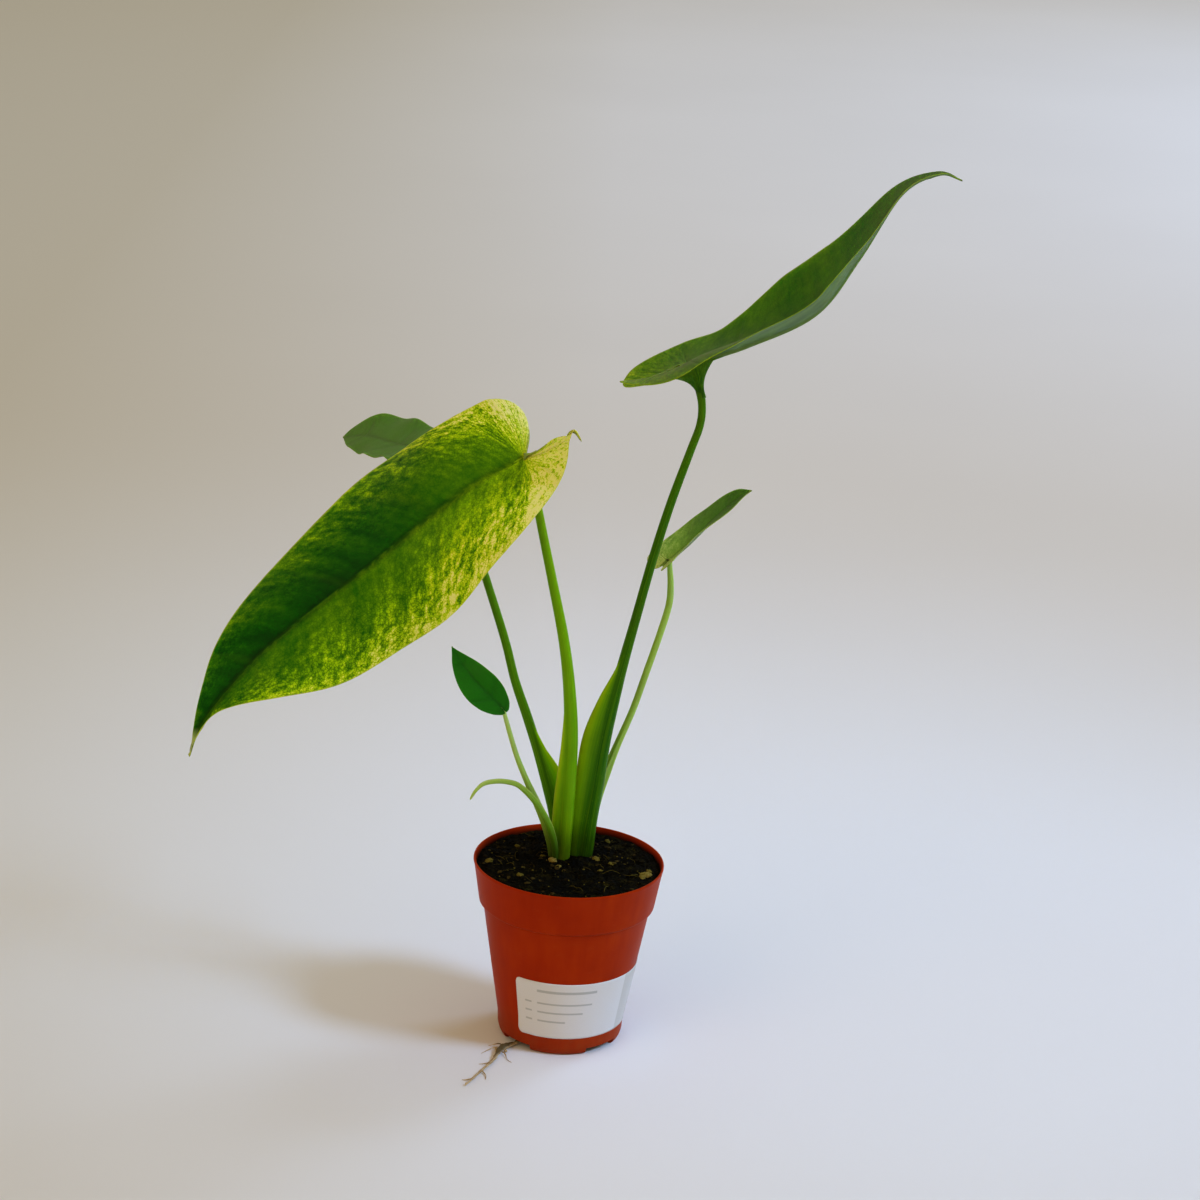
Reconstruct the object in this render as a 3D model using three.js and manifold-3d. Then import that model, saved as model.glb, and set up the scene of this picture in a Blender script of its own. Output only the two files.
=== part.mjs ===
import * as THREE from 'three';
import { mergeVertices } from 'three/addons/utils/BufferGeometryUtils.js';
import Module from 'manifold-3d';

const wasm = await Module();
wasm.setup();

// Lengths are millimetres, angles are degrees, Z is up and the pot stands on z = 0.

// Clearance between pieces that touch on the real plant
const GAP = 0.3;

// Steps between two neighbouring points of a measured curve
const CURVE_STEPS = 60;

// Pot: a thin moulded nursery pot, pairs of radius and height
// The outside runs from the base up, the inside from the rim down
const POT_OUTSIDE = [
  [26.5, 0], [28.0, 0.5], [29.1, 1.8], [29.8, 4.5], [30.1, 10],
  [39.6, 66.3], [41.6, 67.4], [44.7, 86.6], [45.0, 87.5], [44.7, 88],
];
const POT_INSIDE = [
  [44.1, 88], [43.8, 87.4], [40.6, 68.3], [38.5, 67.2],
  [29.0, 10], [28.6, 5], [27.8, 2.7], [26.0, 1.5],
];
const POT_FLOOR = 1.5;
const POT_SIDES = 48;
const NOTCH_ANGLES = [-135, -45, 45, 135];
const NOTCH_SPAN = 36;
const NOTCH_RADII = [23, 34];
const NOTCH_HEIGHT = 3.2;

// Label: a curved sticker low on the wall, angles counted from the front towards the right
const LABEL_SPAN = [-38, 106];
const LABEL_HEIGHTS = [9.2, 39.5];
const LABEL_THICKNESS = 0.4;
const LABEL_CORNER = 3;
const LABEL_COLUMNS = 30;

// Soil: fills the pot to below the rim, heaped round the plant
const SOIL_LEVEL = 85.6;
const SOIL_HEAP = 0.5;
const SOIL_HEAP_WIDTH = 16;
const SOIL_LUMP = 0.5;
const SOIL_RINGS = 9;
const SOIL_SIDES = 36;

// Crown: the short stem under the soil that carries the stalks, with its main roots
const CROWN_CENTRE = [0.5, 10.5];
const CROWN_LEVELS = [
  [56, 4.5, 4.5], [60, 7.5, 8], [68, 9.5, 11], [76, 10, 12.5], [78.6, 9, 11.5], [79.3, 7, 9],
];
const CROWN_SIDES = 24;
const MAIN_ROOTS = [
  {
    path: [[2, 9, 62], [8, 2, 48], [14, -6, 32], [16, -9, 18]],
    radius: [2.4, 1.9, 1.4, 0.8],
    rings: 6,
  },
  {
    path: [[-2, 12, 62], [-10, 14, 50], [-17, 14, 36], [-19, 11, 20]],
    radius: [2.4, 1.9, 1.4, 0.8],
    rings: 6,
  },
  {
    path: [[1, 13, 60], [3, 19, 46], [2, 22, 30], [-1, 20, 16]],
    radius: [2.2, 1.8, 1.3, 0.8],
    rings: 6,
  },
];

// Root that has left the pot through the front left notch and lies on the ground
const ROOT_TAIL = {
  path: [
    [-13, -13.5, 6.4], [-16.6, -17.2, 3.2], [-20.4, -21.2, 1.35], [-26.5, -28.5, 1.9],
    [-30, -40, 1.05], [-35.5, -53, 0.95], [-41.5, -67, 0.75],
  ],
  radius: [1.1, 1.1, 1.05, 1.75, 0.95, 0.85, 0.6],
  rings: 16,
};

// Leaf outline, half of it: share of the length ahead of the stalk end, share of the half width
// left gives the left half's own shares of the half width where they differ
// Leaf spines run from behind the stalk end to the tip, the second point being the stalk end
// fold lifts each half from the midrib, curl bends it onwards up to the margin, right half first
const LEAVES = {
  large: {
    spine: [
      [-17, -4.5, 297.5], [-31, -11.5, 286.5], [-56, -19.5, 272], [-101, -28.5, 233.5],
      [-139.5, -37, 199.5], [-160.5, -44, 175.5], [-170.5, -45.5, 159.5], [-174.3, -46, 147],
    ],
    face: [-0.48, -0.51, 0.71],
    twist: -24,
    halfWidth: 44,
    outline: [
      [-0.01, 0.01], [-0.055, 0.22], [-0.075, 0.43], [-0.065, 0.63], [-0.02, 0.74], [0.1, 0.87],
      [0.26, 1.2], [0.44, 1.05], [0.605, 0.86], [0.755, 0.485], [0.87, 0.19], [0.95, 0.03],
      [1, 0],
    ],
    left: [0.03, 0.21, 0.51, 0.51, 0.64, 0.905, 0.925, 0.925, 0.82, 0.47, 0.105, 0.03, 0],
    fold: [[17, -3, -26, 2, 31], [32, 10, -22, -2, 47]],
    curl: [[-3, -36, 5, -40, -5], [-6, 2, -29, -37, 0]],
    drop: [0.45, -1.5],
    wave: [0, 3, 0],
    thickness: 0.75,
    rib: 1.6,
    veins: 9,
  },
  tall: {
    spine: [
      [20, 3, 316], [41.5, 6, 330], [67, 10.5, 339.5], [97, 21, 353.5],
      [115, 29.5, 378], [133, 42.5, 406], [150, 50, 414.5], [161, 53, 412],
    ],
    face: [-0.6, -0.15, 0.78],
    twist: -25,
    halfWidth: 30.5,
    outline: [
      [-0.04, 0.03], [-0.095, 0.06], [-0.2, 0.45], [-0.13, 0.46], [-0.04, 0.91], [0.075, 0.94],
      [0.24, 0.86], [0.43, 1.03], [0.6, 0.58], [0.76, 0.35], [0.875, 0.27], [0.95, 0.13], [1, 0],
    ],
    left: [0.02, 0.04, 0.42, 0.66, 0.82, 1.02, 1.02, 1.16, 0.82, 0.51, 0.33, 0.16, 0],
    fold: [[-3, 13, 3, 4, -3, -16], [21, 7, 21, 26, 22, 39]],
    curl: [[-43, -36, 0, 3, 2, -12], [58, 33, 39, 23, 21, 14]],
    drop: [-0.28, -0.03],
    wave: [0, 3, 0],
    thickness: 0.75,
    rib: 1.3,
    veins: 8,
  },
  back: {
    spine: [
      [-55.5, 17, 264], [-67.7, 36, 266.6], [-80.7, 58, 267.6], [-95.3, 80, 264.4],
      [-109.8, 102, 261.1], [-123.5, 120, 254.6],
    ],
    face: [-0.35, -0.3, 0.88],
    twist: 0,
    halfWidth: 21.5,
    outline: [
      [-0.01, 0.03], [-0.085, 0.1], [-0.135, 0.27], [-0.125, 0.52], [-0.05, 0.79], [0.08, 0.93],
      [0.235, 0.96], [0.43, 0.92], [0.575, 0.91], [0.775, 0.82], [0.865, 0.61], [0.965, 0.255],
      [1, 0],
    ],
    left: [0.03, 0.1, 0.27, 0.52, 0.78, 0.9, 0.9, 0.845, 0.705, 0.525, 0.385, 0.1, 0],
    fold: [[6, 3.5, 0, 0.5, 16.5], [8.5, 14, 14.5, 4, -0.5]],
    curl: [[0, 0, -12.5, -6.5, 0.5], [-7.5, 1.5, 12.5, -12.5, -10]],
    drop: [0, 0],
    wave: [1.95, 4.37, 2.14],
    thickness: 0.7,
    rib: 1.1,
    veins: 6,
  },
  right: {
    spine: [
      [30, 18, 222.5], [38, 23.5, 231], [48, 29.5, 239.5], [57.5, 33, 249.5],
      [67.5, 35.5, 259], [74.5, 34.5, 264.5],
    ],
    face: [-0.55, -0.45, 0.7],
    twist: -17,
    halfWidth: 16.5,
    outline: [
      [0, 0.03], [-0.09, 0.1], [-0.13, 0.27], [-0.11, 0.53], [-0.06, 0.81], [0.09, 0.94],
      [0.24, 1], [0.42, 0.92], [0.59, 0.7], [0.75, 0.54], [0.87, 0.34], [0.95, 0.13], [1, 0],
    ],
    fold: [[14, 18, 20, 10, 6], [16, 13, 8, 11, 20]],
    curl: [[0, 6, 8, 2, -5], [2, -3, -7, -7, 3]],
    drop: [0, 0],
    wave: [0, 3, 0],
    thickness: 0.65,
    rib: 0.8,
    veins: 5,
  },
  left: {
    spine: [
      [-28.8, -24.2, 164], [-34, -22.8, 170], [-40.4, -21.9, 176], [-47, -20, 181.5],
      [-53.8, -16.5, 188.5], [-59, -14, 195.5],
    ],
    face: [-0.25, -0.87, 0.42],
    twist: 0,
    halfWidth: 8.2,
    outline: [
      [-0.06, 0.05], [-0.05, 0.25], [-0.01, 0.46], [0.03, 0.61], [0.11, 0.8], [0.21, 0.97],
      [0.36, 1.05], [0.52, 0.96], [0.68, 0.75], [0.82, 0.47], [0.92, 0.21], [0.97, 0.09], [1, 0],
    ],
    fold: [[12, 14, 12, 8, 12], [12, 12, 13, 13, 12]],
    curl: [[0, 3, 1, -5, 0], [0, 0, 2, 1, 0]],
    drop: [0, 0],
    wave: [0, 3, 0],
    thickness: 0.65,
    rib: 0.6,
    veins: 4,
  },
};
const VEIN_ANGLE = 55;
const VEIN_BOW = 0.1;
const VEIN_DEPTH = 0.3;
const STATIONS_PER_VEIN = 3;
const BLADE_ROWS = [0, 0.08, 0.28, 0.5, 0.72, 0.9, 1];

// Leaf stalks from the crown up: centre line, radius, and how far the two sheath wings stand out
// towards the inner side of the bunch
const STALKS = {
  large: {
    path: [
      [-1, 8, 76.5], [-1.6, 7, 88.8], [-2.6, 6, 115.7], [-2.4, 5, 146.3], [-4.3, 3, 171.7],
      [-8.2, 2, 196.5], [-15, 0, 225.9], [-20.2, -2, 247.8], [-25, -5, 268.9], [-28.4, -8, 281.8],
      [-30.6, -10.8, 287.1],
    ],
    radius: [3.3, 3.6, 3.7, 3.4, 2.9, 2.5, 2.2, 2.05, 1.95, 1.9, 1.8],
    wing: [2.2, 3, 3.4, 1.6, 0, 0, 0, 0, 0, 0, 0],
    inner: [1, 0.4, 0],
    rings: 23,
  },
  tall: {
    path: [
      [5.5, 12.5, 76.5], [6.9, 12, 87.2], [8.4, 11.5, 103.9], [11, 11, 124.7], [13.2, 10, 145.4],
      [16.3, 9, 165], [19.8, 8, 184.4], [24.5, 7, 207.7], [30.6, 6, 237.5], [37.1, 6, 264.3],
      [44.3, 7, 288.7], [48, 8, 301.3], [48.2, 8, 311.2], [45.6, 7.4, 321.4], [42.8, 6.2, 327.8],
    ],
    radius: [3.8, 4.2, 3.9, 3.6, 3.2, 2.9, 2.5, 2.2, 2.1, 2, 1.85, 1.8, 1.8, 1.95, 2.3],
    wing: [2, 5, 6, 6.5, 6, 4.5, 0.8, 0, 0, 0, 0, 0, 0, 0, 0],
    inner: [-1, -0.15, 0],
    rings: 29,
  },
  back: {
    path: [
      [-4, 17.5, 76.5], [-5, 18.5, 84], [-7.3, 19, 99.9], [-12.6, 20, 118.1], [-18.2, 21, 135.2],
      [-23.8, 22, 150.7], [-30.4, 24, 167.6], [-36.1, 26, 186.6], [-45.9, 29, 213.7],
      [-54.7, 33, 236.5], [-62, 36, 253], [-67, 36.6, 265.6],
    ],
    radius: [2.9, 3.2, 3, 2.7, 2.4, 2.3, 2.1, 2, 1.9, 1.8, 1.7, 1.7],
    wing: [1, 4, 5, 5.5, 5, 1.2, 0, 0, 0, 0, 0, 0],
    inner: [1, -0.7, 0],
    rings: 25,
  },
  right: {
    path: [
      [7.5, 18.5, 76.5], [8.8, 20, 84], [10.9, 20, 98.1], [13.4, 20, 112.1], [17, 20, 125.6],
      [20.4, 20, 140.1], [26, 20, 158.1], [31, 20, 176.4], [36.7, 21, 197.3], [39.7, 22, 210.5],
      [39.8, 22.8, 220], [38.4, 23.2, 230.4],
    ],
    radius: [2.3, 2.6, 2.2, 2, 1.85, 1.7, 1.6, 1.6, 1.6, 1.6, 1.5, 1.4],
    wing: [0, 1.5, 2, 2, 1.2, 0.3, 0, 0, 0, 0, 0, 0],
    inner: [-1, -0.4, 0],
    rings: 22,
  },
  left: {
    path: [
      [-5.5, 4.5, 76.5], [-7.7, 3, 90.1], [-12.2, 0, 104.8], [-17.4, -5, 119.1],
      [-22.5, -10, 132.3], [-26.6, -14, 143.6], [-30.2, -17.6, 155.8], [-32.5, -20, 164.3],
      [-34.4, -20.8, 171.2],
    ],
    radius: [1.8, 1.8, 1.7, 1.6, 1.4, 1.25, 1.15, 1.05, 0.9],
    wing: [0, 0.8, 1.2, 1, 0.3, 0, 0, 0, 0],
    inner: [1, 0.6, 0],
    rings: 16,
  },
  strap: {
    path: [
      [-4, 0.5, 76.5], [-5.8, -1.5, 91.9], [-9.4, -4.4, 103.7], [-12.9, -7.5, 112.4],
      [-16.7, -10.5, 119.7], [-21.3, -13.5, 126], [-25.7, -15.5, 130.2], [-30.6, -17, 132],
      [-35.7, -18.5, 132.5], [-41.1, -20, 131.6], [-44.6, -21, 128.5], [-47.1, -22, 124.1],
    ],
    radius: [1.4, 1.4, 1.4, 1.4, 1.3, 1.2, 1.1, 1, 0.95, 0.85, 0.7, 0.5],
    wing: [0, 0.5, 0.8, 0.8, 0.8, 0.8, 0.8, 0.7, 0.7, 0.6, 0.4, 0.1],
    inner: [0.4, 0.3, 1],
    rings: 21,
  },
};
// Innermost stalk first: each later one makes room for those before it
const STALK_ORDER = ['large', 'tall', 'back', 'right', 'left', 'strap'];
// Places round a stalk's section, from its inner side; those with reach carry the sheath wings
const SECTION = [
  [0, 0], [24, 0], [46, 0.92], [72, 1], [98, 0], [126, 0], [154, 0],
  [180, 0], [206, 0], [234, 0], [262, 0], [288, 1], [314, 0.92], [336, 0],
];
const WING_LEAN = 27;
const TOP_CUTTER = { radius: 9, height: 8 };
const ROOT_SECTION = [0, 45, 90, 135, 180, 225, 270, 315].map((angle) => [angle, 0]);

const radians = (angle) => (angle * Math.PI) / 180;

// Smooth value at share q of a list of evenly spaced values
function smoothValue(list, q) {
  const values = [2 * list[0] - list[1], ...list, 2 * list.at(-1) - list.at(-2)];
  const x = Math.min(1, Math.max(0, q)) * (list.length - 1);
  const i = Math.min(Math.floor(x), list.length - 2);
  const t = x - i;
  const [p0, p1, p2, p3] = values.slice(i, i + 4);
  const quadratic = 2 * p0 - 5 * p1 + 4 * p2 - p3;
  const cubic = 3 * p1 - p0 - 3 * p2 + p3;
  return 0.5 * (2 * p1 + (p2 - p0) * t + quadratic * t * t + cubic * t * t * t);
}

// Smooth curve through points, measured along its length
function measuredCurve(points) {
  const vectors = points.map((point) => new THREE.Vector3(...point));
  const curve = new THREE.CatmullRomCurve3(vectors, false, 'catmullrom', 0.5);
  const samples = curve.getPoints((points.length - 1) * CURVE_STEPS);
  const lengths = [0];
  for (let i = 1; i < samples.length; i += 1) {
    lengths.push(lengths[i - 1] + samples[i].distanceTo(samples[i - 1]));
  }
  return { curve, samples, lengths, total: lengths.at(-1) };
}

// Point at a length along a measured curve, going straight on past its ends
function pointAtLength(line, length) {
  const { samples, lengths, total } = line;
  let i = lengths.findIndex((value) => value > length) - 1;
  if (length >= total) i = lengths.length - 2;
  if (length <= 0) i = 0;
  const share = (length - lengths[i]) / (lengths[i + 1] - lengths[i]);
  return samples[i].clone().lerp(samples[i + 1], share);
}

// Closed body from points and triangles, faces turned outwards
function solidFrom(points, triangles) {
  let volume = 0;
  for (const [a, b, c] of triangles) {
    volume += points[a].dot(points[b].clone().cross(points[c]));
  }
  const faces = volume > 0 ? triangles : triangles.map(([a, b, c]) => [a, c, b]);
  const vertProperties = new Float32Array(points.flatMap((point) => point.toArray()));
  const triVerts = new Uint32Array(faces.flat());
  return new wasm.Manifold(new wasm.Mesh({ numProp: 3, vertProperties, triVerts }));
}

function geometryOf(solid) {
  const mesh = solid.getMesh();
  const geometry = new THREE.BufferGeometry();
  geometry.setAttribute('position', new THREE.BufferAttribute(mesh.vertProperties, 3));
  geometry.setIndex(new THREE.BufferAttribute(mesh.triVerts, 1));
  return geometry;
}

// Largest piece of a cut body, with corners closer than a micrometre made one
function mainPiece(solid) {
  const largest = (pieces) => (
    pieces.reduce((best, piece) => (piece.volume() > best.volume() ? piece : best))
  );
  const geometry = mergeVertices(geometryOf(largest(solid.decompose())), 0.001);
  const vertProperties = geometry.attributes.position.array;
  const triVerts = new Uint32Array(geometry.index.array);
  const merged = new wasm.Manifold(new wasm.Mesh({ numProp: 3, vertProperties, triVerts }));
  return largest(merged.decompose());
}

// Body turned about Z from rings; a ring of one point closes an end
function ringSolid(rings) {
  const points = rings.flat();
  const starts = [];
  let count = 0;
  for (const ring of rings) {
    starts.push(count);
    count += ring.length;
  }
  const triangles = [];
  for (let i = 0; i + 1 < rings.length; i += 1) {
    const size = Math.max(rings[i].length, rings[i + 1].length);
    for (let k = 0; k < size; k += 1) {
      const next = (k + 1) % size;
      const a = starts[i] + (rings[i].length > 1 ? k : 0);
      const b = starts[i] + (rings[i].length > 1 ? next : 0);
      const c = starts[i + 1] + (rings[i + 1].length > 1 ? next : 0);
      const d = starts[i + 1] + (rings[i + 1].length > 1 ? k : 0);
      if (a !== b) triangles.push([a, b, c]);
      if (c !== d) triangles.push([a, c, d]);
    }
  }
  return solidFrom(points, triangles);
}

function circle(radius, z, sides) {
  if (radius === 0) return [new THREE.Vector3(0, 0, z)];
  return Array.from({ length: sides }, (_, k) => {
    const angle = (2 * Math.PI * k) / sides;
    return new THREE.Vector3(radius * Math.cos(angle), radius * Math.sin(angle), z);
  });
}

// Radius of a profile given as radius and height pairs that rise
function profileRadius(profile, z) {
  for (let i = 1; i < profile.length; i += 1) {
    const [r0, z0] = profile[i - 1];
    const [r1, z1] = profile[i];
    if (z <= z1 && z1 > z0) return r0 + ((r1 - r0) * Math.max(0, z - z0)) / (z1 - z0);
  }
  return profile.at(-1)[0];
}

// Pot with four notches in its lower edge
function notchCutter(angle) {
  const [inner, outer] = NOTCH_RADII;
  const corner = (radius, turn, z) => {
    const a = radians(angle - 90 + turn);
    return new THREE.Vector3(radius * Math.cos(a), radius * Math.sin(a), z);
  };
  const half = NOTCH_SPAN / 2;
  const outline = [[inner, -half], [outer, -half], [outer + 1, 0], [outer, half], [inner, half]];
  const low = outline.map(([radius, turn]) => corner(radius, turn, -2));
  const high = outline.map(([radius, turn]) => corner(radius, turn, NOTCH_HEIGHT));
  const foot = [corner((inner + outer) / 2, 0, -2)];
  const head = [corner((inner + outer) / 2, 0, NOTCH_HEIGHT)];
  return ringSolid([foot, low, high, head]);
}

function potSolid() {
  const profile = [[0, 0], ...POT_OUTSIDE, ...POT_INSIDE, [0, POT_FLOOR]];
  let solid = ringSolid(profile.map(([radius, z]) => circle(radius, z, POT_SIDES)));
  for (const angle of NOTCH_ANGLES) solid = solid.subtract(notchCutter(angle));
  return mainPiece(solid);
}

// Label: a curved plate with rounded corners that follows the wall
function labelSolid() {
  const [first, last] = LABEL_SPAN;
  const [low, high] = LABEL_HEIGHTS;
  const wallMid = profileRadius(POT_OUTSIDE, (low + high) / 2);
  const cornerTurn = (LABEL_CORNER / wallMid) * (180 / Math.PI);
  const rings = [];
  for (let i = 0; i <= LABEL_COLUMNS; i += 1) {
    const angle = first + ((last - first) * i) / LABEL_COLUMNS;
    const toEnd = Math.min(angle - first, last - angle) / cornerTurn;
    const inset = LABEL_CORNER * (1 - Math.sqrt(1 - Math.max(0, 1 - toEnd) ** 2));
    const column = [];
    for (const [z, lift] of [[low, 0], [low, 1], [high, 1], [high, 0]]) {
      const height = z === low ? low + inset * 0.85 : high - inset * 0.85;
      const radius = profileRadius(POT_OUTSIDE, height) + GAP + lift * LABEL_THICKNESS;
      const turn = radians(angle - 90);
      column.push(new THREE.Vector3(radius * Math.cos(turn), radius * Math.sin(turn), height));
    }
    rings.push(column);
  }
  const middle = (ring) => [ring.reduce((sum, point) => sum.clone().add(point)).divideScalar(4)];
  return ringSolid([middle(rings[0]), ...rings, middle(rings.at(-1))]);
}

// Height of the soil surface
function soilHeight(x, y) {
  const [cx, cy] = CROWN_CENTRE;
  const distance = Math.hypot(x - cx, y - cy);
  const heap = SOIL_HEAP * Math.exp(-((distance / SOIL_HEAP_WIDTH) ** 2));
  const coarse = Math.sin(0.52 * x + 0.9) * Math.cos(0.47 * y - 0.4);
  const fine = Math.sin(1.13 * x - 0.7 * y) * Math.cos(0.9 * y + 0.5 * x);
  return SOIL_LEVEL + heap + SOIL_LUMP * (0.7 * coarse + 0.6 * fine);
}

function soilSolid() {
  const rings = [circle(0, POT_FLOOR + GAP, SOIL_SIDES)];
  const wall = [...POT_INSIDE].reverse().slice(0, 6);
  for (const [radius, z] of wall) {
    rings.push(circle(radius - GAP * 1.3, z + GAP, SOIL_SIDES));
  }
  const edge = profileRadius([...POT_INSIDE].reverse(), SOIL_LEVEL) - GAP * 1.6;
  for (let i = 0; i <= SOIL_RINGS; i += 1) {
    const radius = edge * (1 - i / SOIL_RINGS);
    const ring = circle(radius, 0, SOIL_SIDES);
    for (const point of ring) point.z = soilHeight(point.x, point.y);
    rings.push(ring);
  }
  return ringSolid(rings);
}

// Tapering tube along a smooth path, with two sheath wings on its inner side where asked
function stalkSolid(stalk, extra = 0, section = SECTION) {
  const { path, radius, wing, inner, rings } = stalk;
  const line = measuredCurve(path);
  const towards = new THREE.Vector3(...inner);
  const loops = [];
  for (let i = 0; i <= rings; i += 1) {
    const share = i / rings;
    const centre = line.curve.getPoint(share);
    const along = line.curve.getTangent(share);
    const across = towards.clone().addScaledVector(along, -towards.dot(along)).normalize();
    const beside = along.clone().cross(across);
    const r = smoothValue(radius, share) + extra;
    const reach = Math.max(0, smoothValue(wing, share));
    const loop = section.map(([angle, part]) => {
      const lean = radians(angle < 180 ? WING_LEAN : -WING_LEAN);
      const out = r * Math.cos(radians(angle)) + part * reach * Math.cos(lean);
      const side = r * Math.sin(radians(angle)) + part * reach * Math.sin(lean);
      return centre.clone().addScaledVector(across, out).addScaledVector(beside, side);
    });
    loops.push(loop);
  }
  const start = line.curve.getPoint(0).addScaledVector(line.curve.getTangent(0), -0.3 * radius[0]);
  const end = line.curve.getPoint(1).addScaledVector(line.curve.getTangent(1), 0.5 * radius.at(-1));
  return ringSolid([[start], ...loops, [end]]);
}

// Round tapering root
function rootSolid(root, extra = 0) {
  const plain = root.path.map(() => 0);
  return stalkSolid({ ...root, wing: plain, inner: [0.6, 0.3, 1] }, extra, ROOT_SECTION);
}

function crownSolid(extra = 0) {
  const [cx, cy] = CROWN_CENTRE;
  const level = ([z, rx, ry], i) => {
    const lift = i === 0 ? -extra : extra;
    return Array.from({ length: CROWN_SIDES }, (_, k) => {
      const turn = (2 * Math.PI * k) / CROWN_SIDES;
      const x = cx + (rx + extra) * Math.cos(turn);
      const y = cy + (ry + extra) * Math.sin(turn);
      return new THREE.Vector3(x, y, z + (i === 0 || i === CROWN_LEVELS.length - 1 ? lift : 0));
    });
  };
  const rings = CROWN_LEVELS.map(level);
  const foot = new THREE.Vector3(cx, cy, CROWN_LEVELS[0][0] - 1.5 - extra);
  const head = new THREE.Vector3(cx, cy, CROWN_LEVELS.at(-1)[0] + 0.2 + extra);
  let solid = ringSolid([[foot], ...rings, [head]]);
  for (const root of MAIN_ROOTS) solid = solid.add(rootSolid(root, extra));
  return solid;
}

// Margin at share a from the notch to the tip: place along the midrib, right and left widths
function marginAt(leaf, length, a) {
  const ahead = leaf.outline.map(([u]) => u);
  const right = leaf.outline.map(([, v]) => v);
  const widths = [right, leaf.left ?? right].map((list) => (
    Math.max(0, smoothValue(list, a)) * leaf.halfWidth
  ));
  return [smoothValue(ahead, a) * length, widths];
}

// Blade: side veins leave the midrib and bow towards the tip, cells follow the veins
function bladeSolid(leaf) {
  const line = measuredCurve(leaf.spine);
  const behind = line.lengths[CURVE_STEPS];
  const length = line.total - behind;
  const face = new THREE.Vector3(...leaf.face);

  // Point of the folded and curled surface for a place on the flat leaf
  const placed = (u, v, side) => {
    const at = Math.min(line.total, Math.max(0, u + behind));
    const share = at / line.total;
    const centre = pointAtLength(line, at);
    const from = pointAtLength(line, Math.max(0, at - 0.5));
    const to = pointAtLength(line, Math.min(line.total, at + 0.5));
    const along = to.sub(from).normalize();
    const up = face.clone().addScaledVector(along, -face.dot(along)).normalize();
    up.applyAxisAngle(along, radians(leaf.twist));
    const beside = along.clone().cross(up);
    centre.addScaledVector(along, u + behind - at);
    const half = side > 0 ? 0 : 1;
    const fold = radians(smoothValue(leaf.fold[half], share));
    let curl = radians(smoothValue(leaf.curl[half], share)) / leaf.halfWidth;
    if (Math.abs(curl) < 1e-6) curl = 1e-6;
    const out = (Math.sin(fold + curl * v) - Math.sin(fold)) / curl;
    let lift = (Math.cos(fold) - Math.cos(fold + curl * v)) / curl;
    const [height, count, phase] = leaf.wave;
    const ripple = Math.sin(2 * Math.PI * count * share + phase + (side > 0 ? 0 : 1.3));
    lift += height * ripple * (v / leaf.halfWidth) ** 2;
    lift -= (leaf.drop[half] * Math.max(0, -u) ** 2) / Math.max(behind, 1);
    return centre.addScaledVector(beside, side * out).addScaledVector(up, lift);
  };

  const middle = [];
  const under = [];
  const known = new Map();
  const vertex = (a, r, side, onVein) => {
    const [ue, widths] = marginAt(leaf, length, a);
    const ve = widths[side > 0 ? 0 : 1];
    const meanWidth = (widths[0] + widths[1]) / 2;
    const start = Math.max(0, ue - meanWidth / Math.tan(radians(VEIN_ANGLE)));
    const bow = VEIN_BOW * 4 * r * (1 - r);
    const u = start + r * (ue - start) - bow * ve * 0.5;
    const v = r * ve + bow * (ue - start) * 0.5;
    const key = `${Math.round(u * 500)},${Math.round(side * v * 500) || 0}`;
    if (!known.has(key)) {
      known.set(key, middle.length);
      middle.push(placed(u, v, side));
      const taper = Math.sqrt(Math.max(0, 1 - Math.max(0, u) / length));
      const rib = r === 0 ? leaf.rib * taper : 0;
      const vein = r > 0 && onVein ? VEIN_DEPTH * (1 - r) : 0;
      under.push(rib + vein);
    }
    return known.get(key);
  };

  const stations = leaf.veins * STATIONS_PER_VEIN;
  const faces = [];
  const addFace = (a, b, c) => {
    if (a !== b && b !== c && a !== c) faces.push([a, b, c]);
  };
  for (const side of [1, -1]) {
    for (let i = 0; i < stations; i += 1) {
      for (let j = 0; j + 1 < BLADE_ROWS.length; j += 1) {
        const corners = [[i, j], [i + 1, j], [i + 1, j + 1], [i, j + 1]];
        const [p, q, s, t] = corners.map(([ci, cj]) => (
          vertex(ci / stations, BLADE_ROWS[cj], side, ci % STATIONS_PER_VEIN === 0)
        ));
        if (side > 0) {
          addFace(p, s, q);
          addFace(p, t, s);
        } else {
          addFace(p, q, s);
          addFace(p, s, t);
        }
      }
    }
  }

  const normals = middle.map(() => new THREE.Vector3());
  const edges = new Map();
  for (const [a, b, c] of faces) {
    const ab = middle[b].clone().sub(middle[a]);
    const ac = middle[c].clone().sub(middle[a]);
    const normal = ab.cross(ac);
    for (const k of [a, b, c]) normals[k].add(normal);
    for (const [k, m] of [[a, b], [b, c], [c, a]]) edges.set(`${k},${m}`, [k, m]);
  }
  for (const normal of normals) normal.normalize();
  const half = leaf.thickness / 2;
  const top = middle.map((point, k) => point.clone().addScaledVector(normals[k], half));
  const low = middle.map((point, k) => (
    point.clone().addScaledVector(normals[k], -half - under[k])
  ));
  const offset = middle.length;
  const triangles = [];
  for (const [a, b, c] of faces) {
    triangles.push([a, b, c]);
    triangles.push([a + offset, c + offset, b + offset]);
  }
  for (const [k, m] of edges.values()) {
    if (edges.has(`${m},${k}`)) continue;
    triangles.push([k, k + offset, m + offset]);
    triangles.push([k, m + offset, m]);
  }
  const pole = known.get('0,0');
  return { solid: solidFrom([...top, ...low], triangles), seat: low[pole], up: normals[pole] };
}

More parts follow.
